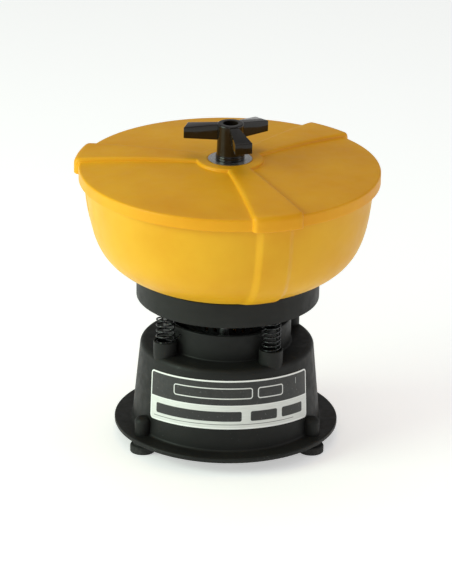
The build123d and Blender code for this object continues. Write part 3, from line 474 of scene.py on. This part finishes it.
LID_YELLOW = (0.82, 0.37, 0.006)
# The bowl's yellow is the lid's with about 15% more green. It is partly its own colour and partly a painted
# light tint, which stands in for the greener light that falls on the bowl from the front and left.
BOWL_YELLOW_WITH_PAINTED_LIGHT_TINT = (0.78, 0.40, 0.011)
ZINC = (0.68, 0.69, 0.69)
MATERIALS = {
    "base_plastic": base_plastic(),
    "carriage_plastic": carriage_plastic(),
    "bowl_plastic": yellow_plastic("bowl_plastic", BOWL_YELLOW_WITH_PAINTED_LIGHT_TINT, 0.16),
    "lid_plastic": yellow_plastic("lid_plastic", LID_YELLOW, 0.22),
    "knob_plastic": knob_plastic(),
    "zinc_steel": turned_metal("zinc_steel", ZINC, 0.26),
    "spring_steel": spring_steel(),
    "foot_rubber": rubber("foot_rubber", (0.017, 0.017, 0.016), 0.007),
    "pad_rubber": rubber("pad_rubber", (0.020, 0.020, 0.019), 0.001),
    "terminal_plastic": moulded("terminal_plastic", (0.72, 0.70, 0.64), 0.45),
    "brass": turned_metal("brass", (0.72, 0.47, 0.17), 0.27, tarnish=0.4),
    "lamination_steel": lamination_steel(),
    "winding_copper": winding_copper(),
    # The motor bracket's near-black enamel is partly painted shade. It keeps the gap between the collar and
    # the ring dark, where the motor hangs in shade.
    "bracket_steel": moulded("bracket_steel", (0.022, 0.022, 0.023), 0.38, grain=0.0005),
    "bearing_bronze": turned_metal("bearing_bronze", (0.45, 0.28, 0.12), 0.42, tarnish=0.5),
    "rotor_steel": brushed_metal("rotor_steel", (0.42, 0.42, 0.43), 0.3, stretch=(1.0, 1.0, 0.05)),
    "weight_steel": cast_weight(),
    "fan_plastic": moulded("fan_plastic", (0.035, 0.035, 0.037), 0.4),
    "fibre": moulded("fibre", (0.30, 0.11, 0.06), 0.7, grain=0.0003),
}


def dress_cad_nodes():
    """Gives each CAD node that stays the material of its slot in the record."""
    for subpart in frame["record"]["subparts"]:
        material = MATERIALS.get(subpart["material_slot"])
        if material is None:
            continue
        mesh_slots = frame["nodes"][subpart["node"]].material_slots
        for mesh_slot in mesh_slots:
            mesh_slot.material = material


dress_cad_nodes()

# ================================================================ LID
# The frame's boxes give the tabs and the washer; the other radii are the moulding's own.
lid_low, lid_high = node_box_mm("lid")
bowl_low, bowl_high = node_box_mm("bowl")
washer_low = node_box_mm("lid_washer")[0]

BAND_ANGLE = -73.5
BAND_ROOT_R = 20
BAND_RIM_R = 113
BAND_ROOT_HALF_W = 9.0
BAND_RIM_HALF_W = 19.4
BAND_WAIST = 0.6
STUD_HOLE_R = 3.4
HUB_R = 25.5
HUB_TOP = lid_high.z
SEAT_R_TOP = 17.4
WASHER_SEAT = washer_low.z
TAB_R = 119.2
TAB_BOTTOM = lid_low.z
SKIRT_R = 115.0
SKIRT_WALL = 2.6
SKIRT_BOTTOM = 209.9
RIM_TOP = bowl_high.z
SEAT_R = 106.0
SLEEVE_R = 10
SLEEVE_CHAMFER = 0.6
HUB_UNDER = 214.0

# Each dome is the arc through its height at the hub, half way out and at the rim.
lid_top = dome((HUB_R, 223.8), (72, 222.3), (SKIRT_R, 219.3))
band_top = dome((BAND_ROOT_R, HUB_TOP), (70, 225.4), (TAB_R, 222.4))
lid_under = dome((SLEEVE_R, 221.3), (66, 219.9), (SEAT_R, 217.0))


def band_half_width(r):
    """Half width of a lid band: it widens along a hollow arc towards the rim, then runs parallel."""
    grow = max(0.0, min(1.0, (r - BAND_ROOT_R) / (BAND_RIM_R - BAND_ROOT_R)))
    return mix(BAND_ROOT_HALF_W, BAND_RIM_HALF_W, grow) - BAND_WAIST * sin(pi * grow)


def lid_outline(raised):
    """The lid's closed section from the stud hole outwards and back underneath."""
    top = band_top if raised else lid_top
    hub_edge, root = 1.6, 1.0
    rim_r = TAB_R if raised else SKIRT_R
    corner = 4.6 if raised else 1.7
    bottom = TAB_BOTTOM if raised else SKIRT_BOTTOM
    lip = 1.1 if raised else 0.5

    points = [(STUD_HOLE_R, WASHER_SEAT - 0.5)]
    points += line((STUD_HOLE_R + 0.5, WASHER_SEAT), (SEAT_R_TOP, WASHER_SEAT), 4)
    points += [(SEAT_R_TOP, HUB_TOP - 0.4), (SEAT_R_TOP + 0.4, HUB_TOP)]
    points += line((SEAT_R_TOP + 1.0, HUB_TOP), (HUB_R - hub_edge, HUB_TOP), 5)
    edge = bezier([(HUB_R - hub_edge, HUB_TOP), (HUB_R, HUB_TOP), (HUB_R, HUB_TOP - hub_edge)], 6)
    root_end = (HUB_R + root, top(HUB_R + root))
    foot = bezier([(HUB_R, top(HUB_R) + root * 0.6), (HUB_R, top(HUB_R + 1)), root_end], 5)
    if raised:
        edge = [(r, band_top(r)) for r in steps(HUB_R - hub_edge, HUB_R, 6)]
        foot = [(r, band_top(r)) for r in steps(HUB_R, HUB_R + root, 5)]
    points += edge + foot[1:]
    points += [(r, top(r)) for r in steps(HUB_R + root, rim_r - corner, 30)[1:]]
    rim_edge = [(rim_r - corner, top(rim_r - corner)), (rim_r, top(rim_r)), (rim_r, top(rim_r) - corner)]
    points += bezier(rim_edge, 9)[1:]
    points += line((rim_r, top(rim_r) - corner - 0.4), (rim_r, bottom + lip), 5)
    points += bezier([(rim_r, bottom + lip), (rim_r, bottom), (rim_r - lip, bottom)], 5)
    skirt_inner_r = SKIRT_R - SKIRT_WALL
    inner_lip = SKIRT_R - 0.2 if raised else skirt_inner_r + 0.5
    points += [(inner_lip, bottom), (skirt_inner_r, SKIRT_BOTTOM + 0.5)]
    points += line((skirt_inner_r, SKIRT_BOTTOM + 1), (skirt_inner_r, RIM_TOP), 3)
    points += line((skirt_inner_r, RIM_TOP), (SEAT_R, RIM_TOP), 3)
    points += [(SEAT_R, RIM_TOP), (SEAT_R, RIM_TOP + 0.6)]
    points += [(r, lid_under(r)) for r in steps(SEAT_R, SLEEVE_R, 26)]
    points += [(SLEEVE_R, HUB_UNDER + SLEEVE_CHAMFER), (SLEEVE_R - SLEEVE_CHAMFER, HUB_UNDER)]
    points += [(STUD_HOLE_R + 0.4, HUB_UNDER), (STUD_HOLE_R, HUB_UNDER + 0.4)]
    return points


def build_lid():
    verts, faces = banded_shell(
        lid_outline(False), lid_outline(True), band_half_width, HUB_R, BAND_ANGLE,
        edge=edge_columns(3.3, 0.8, 0.25), flat=9, gap=34,
    )
    lid = new_piece("lid_moulding", verts, faces, MATERIALS["lid_plastic"], "lid")
    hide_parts("lid")


build_lid()

# ================================================================ BOWL
BOWL_RIM_R = 109.9
BOWL_INNER_R = 106.9
BEAD_R = 111.7
RIB_HALF_W = 13.5
RIB_R = 112.9
FOOT_RING = (44.0, 48.0)
BOWL_FLOOR = 128.0
BOWL_INSIDE = 131.0
CONE_TOP = 213.7
CONE_HEAD_R = 8.5
CONE_HEAD_H = 14
CONE_HOLE_R = 4.2
CONE_HOLE_DEPTH = 12
CONE_FOOT_INNER_R = 21
CONE_FOOT_R = 24.6
CONE_FOOT_TOP = BOWL_INSIDE + 5.5
FLOOR_R = 70.2
BOWL_CURVE = [(BOWL_RIM_R, 210), (106.3, 163.2), (100.3, 147.7), (FLOOR_R, 135.0)]
RIB_CURVE = [(RIB_R, 209.2), (109.2, 162.2), (102.8, 145.0), (71.8, 134.9)]
UNDER_CURVE = [(FLOOR_R, 135.0), (60, 130.7), (50, BOWL_FLOOR), (40, BOWL_FLOOR)]
INNER_CURVE = [(BOWL_INNER_R, 210), (103.4, 164.6), (98.6, 150.5), (69.0, 137.8)]
INNER_FLOOR_CURVE = [(69.0, 137.8), (59.5, 133.8), (50, BOWL_INSIDE), (40, BOWL_INSIDE)]


def bowl_outline(raised):
    """The bowl's closed section: bead, outer wall, floor, hollow cone, inside floor and inner wall."""
    inner_edge = [(BOWL_INNER_R, RIM_TOP - 0.9), (BOWL_INNER_R, RIM_TOP), (BOWL_INNER_R + 0.9, RIM_TOP)]
    points = bezier(inner_edge, 4)
    points += bezier([(BEAD_R - 0.9, RIM_TOP), (BEAD_R, RIM_TOP), (BEAD_R, RIM_TOP - 0.9)], 4)
    points += [(BEAD_R, RIM_TOP - 2.6), (BEAD_R - 0.4, RIM_TOP - 3.3), (BOWL_RIM_R, RIM_TOP - 4.5)]
    if raised:
        points += bezier([(BOWL_RIM_R, 210), (RIB_R, 209.9), (RIB_R - 0.05, 208.0)], 5)
        points += bezier(RIB_CURVE, 44, first=0.012)
    else:
        points += bezier(BOWL_CURVE, 5, first=0.0, last=0.011)
        points += bezier(BOWL_CURVE, 44, first=0.014)
    points += bezier(UNDER_CURVE, 15, first=0.06, last=0.72)
    ring_in, ring_out = FOOT_RING
    seat = bowl_low.z
    points += [(ring_out, BOWL_FLOOR), (ring_out, seat + 0.3), (ring_out - 0.3, seat)]
    points += [(ring_in + 0.3, seat), (ring_in, seat + 0.3), (ring_in, BOWL_FLOOR)]
    hole_bottom = CONE_TOP - CONE_HOLE_DEPTH
    points += line((ring_in - 1, BOWL_FLOOR), (CONE_FOOT_INNER_R, BOWL_FLOOR), 4)
    points += line((CONE_FOOT_INNER_R, BOWL_FLOOR), (CONE_HOLE_R, hole_bottom), 12)
    points += [(CONE_HOLE_R, hole_bottom), (CONE_HOLE_R, CONE_TOP - 0.4), (CONE_HOLE_R + 0.4, CONE_TOP)]
    cone_edge = [(CONE_HEAD_R - 1.2, CONE_TOP), (CONE_HEAD_R, CONE_TOP), (CONE_HEAD_R, CONE_TOP - 1.2)]
    points += bezier(cone_edge, 4)
    head_bottom = CONE_TOP - CONE_HEAD_H
    points += line((CONE_HEAD_R, CONE_TOP - 3), (CONE_HEAD_R, head_bottom), 2)
    points += line((CONE_HEAD_R, head_bottom), (CONE_FOOT_R, CONE_FOOT_TOP), 14)
    points += bezier([(CONE_FOOT_R, CONE_FOOT_TOP), (26, BOWL_INSIDE), (31.5, BOWL_INSIDE)], 7)
    points += bezier(INNER_FLOOR_CURVE[::-1], 12)
    points += bezier(INNER_CURVE[::-1], 34)[1:]
    return points


def build_bowl():
    verts, faces = banded_shell(
        bowl_outline(False), bowl_outline(True), lambda r: RIB_HALF_W, FLOOR_R, BAND_ANGLE,
        edge=sloped_columns(4.0, 2.2), flat=7, gap=34,
    )
    bowl = new_piece("bowl_moulding", verts, faces, MATERIALS["bowl_plastic"], "bowl")
    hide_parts("bowl")


build_bowl()

# ================================================================ SPRINGS
WIRE_R = 0.65
WIRE_SIDES = 10
CUP_DEPTH = 11.0
SPRING_STEPS = 44
CLOSED_TURNS = 0.9
WIRE_END_TAPER = 0.62


def swept_wire(path, radius, sides):
    """A round wire along a path with rounded ends, its frame carried along without twist."""
    tangents = []
    for i in range(len(path)):
        ahead, behind = path[min(i + 1, len(path) - 1)], path[max(i - 1, 0)]
        tangents.append((ahead - behind).normalized())
    normal = tangents[0].orthogonal().normalized()
    stations = [(path[0] - tangents[0] * radius * 0.5, tangents[0], WIRE_END_TAPER)]
    stations += [(point, tangent, 1.0) for point, tangent in zip(path, tangents)]
    stations += [(path[-1] + tangents[-1] * radius * 0.5, tangents[-1], WIRE_END_TAPER)]
    verts, faces = [], []
    for point, tangent, width in stations:
        normal = (normal - tangent * normal.dot(tangent)).normalized()
        side = tangent.cross(normal)
        for k in range(sides):
            turn = 2 * pi * k / sides
            verts.append(point + (normal * cos(turn) + side * sin(turn)) * radius * width)
    for i in range(len(stations) - 1):
        for k in range(sides):
            a, b = i * sides + k, i * sides + (k + 1) % sides
            faces.append((a, b, b + sides, a + sides))
    faces.append(tuple(range(sides))[::-1])
    faces.append(tuple((len(stations) - 1) * sides + k for k in range(sides)))
    return verts, faces


def spring_path(centre, bottom, top, coil_r, turns, start_angle):
    """Centre line of a compression spring with closed end turns."""
    travel = top - bottom
    closed_rise = 2 * WIRE_R * 1.04 * CLOSED_TURNS
    open_turns = turns - 2 * CLOSED_TURNS
    pitch = (travel - 2 * closed_rise) / open_turns
    points = []
    for i in range(int(turns * SPRING_STEPS) + 1):
        turn = i / SPRING_STEPS
        if turn < CLOSED_TURNS:
            z = turn / CLOSED_TURNS * closed_rise
        elif turn > turns - CLOSED_TURNS:
            z = travel - (turns - turn) / CLOSED_TURNS * closed_rise
        else:
            z = closed_rise + (turn - CLOSED_TURNS) * pitch
        points.append(centre + polar(coil_r, start_angle + 360 * turn, bottom + z))
    return points


def spring_tail(centre, mouth):
    """The front-left spring's loose end: it leaves the coil above the cup and hooks upwards."""
    places = [(1.2, -6.6, 3.0), (4.5, -6.0, 2.0), (6.6, -5.0, 1.6), (9.3, -3.0, 3.2), (11.4, -1.2, 5.4)]
    return [centre + Vector((x, y, mouth + z)) for x, y, z in bezier(places, 22)]


def joined(first, second):
    """Two (verts, faces) pairs as one."""
    shift = len(first[0])
    return first[0] + second[0], first[1] + [tuple(i + shift for i in face) for face in second[1]]


# Turns of wire, and the angle where each coil starts.
SPRING_LOOKS = {
    "spring_front_left": (10.2, -60),
    "spring_front_right": (12.6, 35),
    "spring_rear_left": (9.8, 120),
    "spring_rear_right": (9.8, -10),
}


def build_spring(node, turns, start_angle):
    low, high = node_box_mm(node)
    middle = (low + high) / 2
    centre = Vector((middle.x, middle.y, 0))
    coil_r = (high.x - low.x) / 2 - WIRE_R
    path = spring_path(centre, low.z + WIRE_R, high.z - WIRE_R, coil_r, turns, start_angle)
    wire = swept_wire(path, WIRE_R, WIRE_SIDES)
    if node == "spring_front_left":
        wire = joined(wire, swept_wire(spring_tail(centre, low.z + CUP_DEPTH), WIRE_R * 0.9, WIRE_SIDES))
    verts, faces = wire
    spring = new_piece(node + "_coil", verts, faces, MATERIALS["spring_steel"])
    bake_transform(spring)
    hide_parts(node)


for node, (turns, start_angle) in SPRING_LOOKS.items():
    build_spring(node, turns, start_angle)

# ================================================================ LABEL
# A printed film wrapped on the cone: straight edges on the flat sheet droop towards the sides.
FLANGE_TOP = 14.7
BODY_FOOT_R = 72.8
BODY_DRAFT = radians(5.4)
LABEL_HALF_W = 70.7
LABEL_BOTTOM = 32.8
LABEL_TOP = 71.2
LABEL_CORNER = 3.0
LABEL_TURN = radians(1.0)
LABEL_LIFT = (0.02, 0.37)
LABEL_H = LABEL_TOP - LABEL_BOTTOM

# The print, in mm from the label's middle: its border, the line between the band and the panel, two
# outlined pills on the band, three bars and a thin rule on the panel.
PRINT_BORDER = 1.15
PRINT_LINE = -0.4
PILL_Y = 8.9
PILL_HALF_H = 4.4
PILL_CORNER = 2.2
PILL_STROKE = 0.8
BAR_Y = -9.2
BAR_HALF_H = 3.9
BAR_CORNER = 1.4
RULE_Y = -15.6


def body_radius(z):
    return BODY_FOOT_R - (z - FLANGE_TOP) * tan(BODY_DRAFT)


def on_cone(arc, z_middle, lift):
    """The place of a point of the flat label, arc mm from its middle, lift mm off the wall."""
    slant = body_radius(z_middle) / sin(BODY_DRAFT)
    z = z_middle - arc * arc / (2 * slant)
    angle = arc / body_radius(z) + LABEL_TURN
    radius = body_radius(z) + lift
    return Vector((radius * sin(angle), -radius * cos(angle), z))


def label_rows():
    """(height on the flat sheet, half width there) from the bottom edge to the top edge."""
    turns = [radians(90 * i / 8) for i in range(9)]
    rise = [(LABEL_CORNER * (1 - cos(t)), LABEL_CORNER * (1 - sin(t))) for t in turns]
    rows = [(LABEL_BOTTOM + up, LABEL_HALF_W - cut) for up, cut in rise]
    straight = steps(LABEL_BOTTOM + LABEL_CORNER, LABEL_TOP - LABEL_CORNER, 16)[1:-1]
    rows += [(z, LABEL_HALF_W) for z in straight]
    rows += [(LABEL_TOP - up, LABEL_HALF_W - cut) for up, cut in reversed(rise)]
    return rows


def label_film():
    """White film printed with a black band, a silver panel and plain bars in place of any lettering."""
    s = Surface("label_film", (0.62, 0.62, 0.60), 0.34, specular=0.45)
    flat = s.tree.nodes.new("ShaderNodeUVMap")
    flat.uv_map = "flat"
    u, v, _ = s.split(flat.outputs[0])
    x = s.math("MULTIPLY", s.math("SUBTRACT", u, 0.5), 2 * LABEL_HALF_W)
    y = s.math("MULTIPLY", s.math("SUBTRACT", v, 0.5), LABEL_H)

    def bar(centre_x, centre_y, half_w, half_h, corner, soft=0.12):
        """1 inside a rounded bar on the flat sheet."""
        across = s.math("SUBTRACT", s.math("ABSOLUTE", s.math("SUBTRACT", x, centre_x)), half_w - corner)
        up = s.math("SUBTRACT", s.math("ABSOLUTE", s.math("SUBTRACT", y, centre_y)), half_h - corner)
        outside = s.length(s.join(s.math("MAXIMUM", across, 0.0), s.math("MAXIMUM", up, 0.0), 0.0))
        return s.fade(outside, corner + soft, corner - soft)

    def ring(centre_x, centre_y, half_w, half_h, corner, width):
        outer = bar(centre_x, centre_y, half_w, half_h, corner)
        inner = bar(centre_x, centre_y, half_w - width, half_h - width, max(0.2, corner - width))
        return s.math("SUBTRACT", outer, inner)

    def pill(centre_x, half_w):
        return ring(centre_x, PILL_Y, half_w, PILL_HALF_H, PILL_CORNER, PILL_STROKE)

    def panel_bar(centre_x, half_w):
        return bar(centre_x, BAR_Y, half_w, BAR_HALF_H, BAR_CORNER)

    half_w, half_h = LABEL_HALF_W - PRINT_BORDER, LABEL_H / 2 - PRINT_BORDER
    print_area = bar(0, 0, half_w, half_h, LABEL_CORNER - PRINT_BORDER)
    band = s.math("MULTIPLY", print_area, s.fade(y, PRINT_LINE - 0.12, PRINT_LINE + 0.12))
    panel = s.math("MULTIPLY", print_area, s.fade(y, PRINT_LINE - 0.45, PRINT_LINE - 0.7))
    grain_place = s.join(s.math("MULTIPLY", u, 0.012), s.math("MULTIPLY", v, 0.04), 0.0)
    brushed = s.noise(0.0009, 3, 0.6, at=grain_place)
    silver = s.blend(s.fade(brushed, 0.3, 0.7), (0.66, 0.665, 0.64), (0.76, 0.765, 0.735))
    black = s.blend(s.fade(s.noise(0.004, 3), 0.3, 0.7), (0.016, 0.016, 0.0155), (0.026, 0.026, 0.0245))
    color = s.blend(panel, (0.86, 0.86, 0.84), silver)
    color = s.blend(band, color, black)
    pills = s.math("MAXIMUM", pill(-14.5, 31.5), pill(32.0, 11.0))
    color = s.blend(pills, color, (0.74, 0.74, 0.72))
    bars = s.math("MAXIMUM", panel_bar(-27.5, 36.0), panel_bar(26.5, 11.0))
    bars = s.math("MAXIMUM", bars, panel_bar(53.0, 11.0))
    bars = s.math("MAXIMUM", bars, bar(-6.0, RULE_Y, 60.0, 0.2, 0.1))
    color = s.blend(bars, color, (0.018, 0.018, 0.0175))
    nick = bar(56.5, 13.0, 0.22, 2.4, 0.1)
    scuff = s.math("MULTIPLY", s.fade(s.noise(0.0016, 4, 0.7), 0.63, 0.74), 0.35)
    color = s.blend(s.math("MAXIMUM", nick, scuff), color, (0.46, 0.46, 0.445))
    s.color(color)
    satin = s.fade(s.noise(0.006, 3), 0.3, 0.7, 0.28, 0.40)
    s.roughness(s.math("ADD", satin, s.math("MULTIPLY", scuff, 0.3)))
    s.bump(s.math("ADD", bars, band), 0.00003, 0.35)
    return s.material


def build_label():
    rows = label_rows()
    across = 61
    verts, sheet_places = [], []
    for lift in LABEL_LIFT:
        for z_middle, half in rows:
            for share in steps(-1, 1, across):
                verts.append(on_cone(share * half, z_middle, lift))
                u = share * half / (2 * LABEL_HALF_W) + 0.5
                sheet_places.append((u, (z_middle - LABEL_BOTTOM) / LABEL_H))
    faces = []
    side = len(rows) * across
    for i in range(len(rows) - 1):
        for j in range(across - 1):
            a = i * across + j
            faces.append((a, a + across, a + across + 1, a + 1))
            faces.append((side + a, side + a + 1, side + a + across + 1, side + a + across))
    last = (len(rows) - 1) * across
    rim = list(range(across)) + [i * across + across - 1 for i in range(1, len(rows))]
    rim += [last + j for j in range(across - 2, -1, -1)] + [i * across for i in range(len(rows) - 2, 0, -1)]
    for a, b in zip(rim, rim[1:] + rim[:1]):
        faces.append((a, b, side + b, side + a))
    label = new_piece("printed_label", verts, faces, label_film(), "base")
    layer = label.data.uv_layers.new(name="flat")
    for loop in label.data.loops:
        layer.data[loop.index].uv = sheet_places[loop.vertex_index]
    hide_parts("front_label")


build_label()

# ================================================================ KNOB
KNOB_ANGLE = -75.0
ARM_BOTTOM = 241.2
ARM_TIP_R = 35.0
ARM_TIP_HALF_W = 6.8
ARM_ROOT_R = 8.0
ARM_ROOT_HALF_W = 3.2
ARM_TIP_TOP = 249.8
KNOB_HOLE_R = 5.7
KNOB_RING_R = 11.1
KNOB_WALL_R = 10.35
KNOB_CROWN_R = 10.0
INSERT_TOP = 243.0
INSERT_R = 4.6
ROUND_SEGMENTS = 72


def lathe(outline, segments=ROUND_SEGMENTS):
    """A closed solid of revolution about Z from a closed (r, z) outline that stays off the axis."""
    verts = [polar(r, 360 * k / segments, z) for r, z in outline for k in range(segments)]
    return verts, torus_faces(len(outline), segments)


def knob_hub():
    """The knob's round body: foot ring, slightly tapered wall, rounded top and the bore for the insert."""
    bottom, top = node_box_mm("knob")[0].z, node_box_mm("knob")[1].z
    outline = [(INSERT_R, bottom), (10.4, bottom)]
    outline += bezier([(10.5, bottom), (KNOB_RING_R, bottom), (KNOB_RING_R, bottom + 0.6)], 4)
    outline += bezier([(KNOB_RING_R, bottom + 2.6), (KNOB_RING_R, bottom + 3.5), (10.5, bottom + 3.6)], 4)
    outline += bezier([(10.45, bottom + 3.9), (KNOB_WALL_R, bottom + 4.2), (KNOB_WALL_R, bottom + 5.0)], 4)
    outline += [(10.2, bottom + 12), (KNOB_CROWN_R, top - 1.2)]
    outline += bezier([(KNOB_CROWN_R, top - 1.0), (KNOB_CROWN_R, top), (KNOB_CROWN_R - 1, top)], 5)
    outline += bezier([(KNOB_HOLE_R + 0.7, top), (KNOB_HOLE_R, top), (KNOB_HOLE_R, top - 0.7)], 4)
    outline += [(KNOB_HOLE_R, INSERT_TOP), (INSERT_R, INSERT_TOP)]
    return lathe(outline)


def knob_arm(angle, hub_top):
    """One arm: a flat-sided bar whose top slopes down to a planar end, with softly rounded edges."""
    arm = bmesh.new()
    corners = []
    root = (ARM_ROOT_R, ARM_ROOT_HALF_W, hub_top - 0.7)
    tip = (ARM_TIP_R, ARM_TIP_HALF_W, ARM_TIP_TOP)
    for r, half, top in (root, tip):
        for y, z in ((-half, ARM_BOTTOM), (half, ARM_BOTTOM), (half, top), (-half, top)):
            corners.append(arm.verts.new((r, y, z)))
    for face in ((0, 1, 2, 3), (7, 6, 5, 4), (0, 4, 5, 1), (1, 5, 6, 2), (2, 6, 7, 3), (3, 7, 4, 0)):
        arm.faces.new([corners[i] for i in face])
    bmesh.ops.bevel(arm, geom=arm.edges[:], offset=0.55, segments=4, profile=0.5, affect="EDGES")
    bmesh.ops.rotate(arm, verts=arm.verts[:], cent=(0, 0, 0), matrix=Matrix.Rotation(radians(angle), 3, "Z"))
    arm.verts.index_update()
    verts = [v.co.copy() for v in arm.verts]
    faces = [tuple(v.index for v in f.verts) for f in arm.faces]
    arm.free()
    return verts, faces


def knob_bore(hub_top):
    """A cylinder that clears the arms' inner ends out of the bore above the insert."""
    bore = bmesh.new()
    bmesh.ops.create_cone(
        bore, cap_ends=True, segments=ROUND_SEGMENTS, radius1=KNOB_HOLE_R * MM, radius2=KNOB_HOLE_R * MM,
        depth=(hub_top - INSERT_TOP) * 2 * MM, matrix=Matrix.Translation((0, 0, hub_top * MM)),
    )
    mesh = bpy.data.meshes.new("bore")
    bore.to_mesh(mesh)
    bore.free()
    cutter = bpy.data.objects.new("bore", mesh)
    bpy.context.scene.collection.objects.link(cutter)
    return cutter


def apply_boolean(piece, tool, operation):
    """Joins the tool to the piece for good, or cuts it out, and removes the tool."""
    modifier = piece.modifiers.new("boolean", "BOOLEAN")
    modifier.operation = operation
    modifier.solver = "EXACT"
    modifier.object = tool
    bpy.context.view_layer.update()
    result = piece.evaluated_get(bpy.context.evaluated_depsgraph_get())
    mesh = bpy.data.meshes.new_from_object(result)
    piece.modifiers.clear()
    piece.data = mesh
    bpy.data.objects.remove(tool)


def build_knob():
    hub_top = node_box_mm("knob")[1].z
    verts, faces = knob_hub()
    knob = new_piece("knob_moulding", verts, faces, MATERIALS["knob_plastic"])
    for arm in range(3):
        arm_verts, arm_faces = knob_arm(KNOB_ANGLE + 120 * arm, hub_top)
        piece = new_piece("knob_arm", arm_verts, arm_faces, MATERIALS["knob_plastic"])
        apply_boolean(knob, piece, "UNION")
    apply_boolean(knob, knob_bore(hub_top), "DIFFERENCE")
    knob.data.shade_smooth()
    knob.data.set_sharp_from_angle(angle=KNOB_SHARP_ANGLE)
    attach(knob, "knob")
    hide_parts("knob")


build_knob()

# ================================================================ FLOOR, LIGHTS AND CAMERA
FLOOR_HALF = 8.0
FLOOR_GLOW = 0.45
WORLD_GLOW = 0.30


def build_floor():
    """A plain pale floor that lights up a little, as a white sweep does in a light tent."""
    s = Surface("floor", (0.86, 0.86, 0.855), 0.85, specular=0.1)
    s.color(s.blend(s.noise(0.8, 2), (0.85, 0.85, 0.845), (0.87, 0.87, 0.865)))
    s.shader.inputs["Emission Color"].default_value = (1, 1, 1, 1)
    s.shader.inputs["Emission Strength"].default_value = FLOOR_GLOW
    half = FLOOR_HALF
    floor = bpy.data.meshes.new("floor")
    corners = [(-half, -half, 0), (half, -half, 0), (half, half, 0), (-half, half, 0)]
    floor.from_pydata(corners, [], [(0, 1, 2, 3)])
    floor.materials.append(s.material)
    floor_piece = bpy.data.objects.new("floor", floor)
    bpy.context.scene.collection.objects.link(floor_piece)


def soft_light(name, azimuth, elevation, distance, size, power, tint=(1, 1, 1)):
    """A square softbox that looks at the middle of the object. Azimuth 0 is the front, 90 the right."""
    centre = (cad_box[0] + cad_box[1]) / 2
    turn, rise = radians(azimuth), radians(elevation)
    back = Vector((sin(turn) * cos(rise), -cos(turn) * cos(rise), sin(rise)))
    data = bpy.data.lights.new(name, "AREA")
    data.shape = "SQUARE"
    data.size = size
    data.energy = power
    data.color = tint
    lamp = bpy.data.objects.new(name, data)
    lamp.location = centre + back * distance
    lamp.rotation_euler = back.to_track_quat("Z", "Y").to_euler()
    bpy.context.scene.collection.objects.link(lamp)


def build_lights():
    world = bpy.data.worlds.new("studio")
    bpy.context.scene.world = world
    world.use_nodes = True
    background = world.node_tree.nodes["Background"]
    background.inputs["Color"].default_value = (1.0, 1.0, 1.0, 1)
    background.inputs["Strength"].default_value = WORLD_GLOW
    soft_light("left_softbox", -70, 20, 1.6, 1.0, 18, tint=(0.84, 1.05, 0.86))
    soft_light("right_softbox", 80, 18, 1.7, 0.9, 3.1)
    soft_light("front_softbox", -8, 44, 2.2, 1.0, 4.5)
    soft_light("top_softbox", 180, 75, 1.8, 1.2, 5.5)


CAMERA_AZIMUTH = radians(-2.0)
CAMERA_ELEVATION = radians(21.7125)
CAMERA_LEAN = radians(0.964)
CAMERA_DISTANCE = 3.00148
CAMERA_TARGET = Vector((-0.001375, 0.00005, 0.1169))
CAMERA_LENS = 240.37
CAMERA_SENSOR = 36


def build_camera():
    """A long lens gives a view almost without perspective. The camera leans a little to one side."""
    azimuth, elevation, lean = CAMERA_AZIMUTH, CAMERA_ELEVATION, CAMERA_LEAN
    back = Vector((sin(azimuth) * cos(elevation), -cos(azimuth) * cos(elevation), sin(elevation)))
    right = Vector((cos(azimuth), sin(azimuth), 0))
    up = back.cross(right)
    leaning_right = right * cos(lean) + up * sin(lean)
    leaning_up = up * cos(lean) - right * sin(lean)
    data = bpy.data.cameras.new("camera")
    data.sensor_width = CAMERA_SENSOR
    data.lens = CAMERA_LENS
    data.clip_end = 100
    camera = bpy.data.objects.new("camera", data)
    place = Matrix((leaning_right, leaning_up, back)).transposed().to_4x4()
    place.translation = CAMERA_TARGET + back * CAMERA_DISTANCE
    camera.matrix_world = place
    bpy.context.scene.collection.objects.link(camera)
    bpy.context.scene.camera = camera


build_floor()
build_lights()
build_camera()
bpy.context.scene.view_settings.view_transform = "Standard"
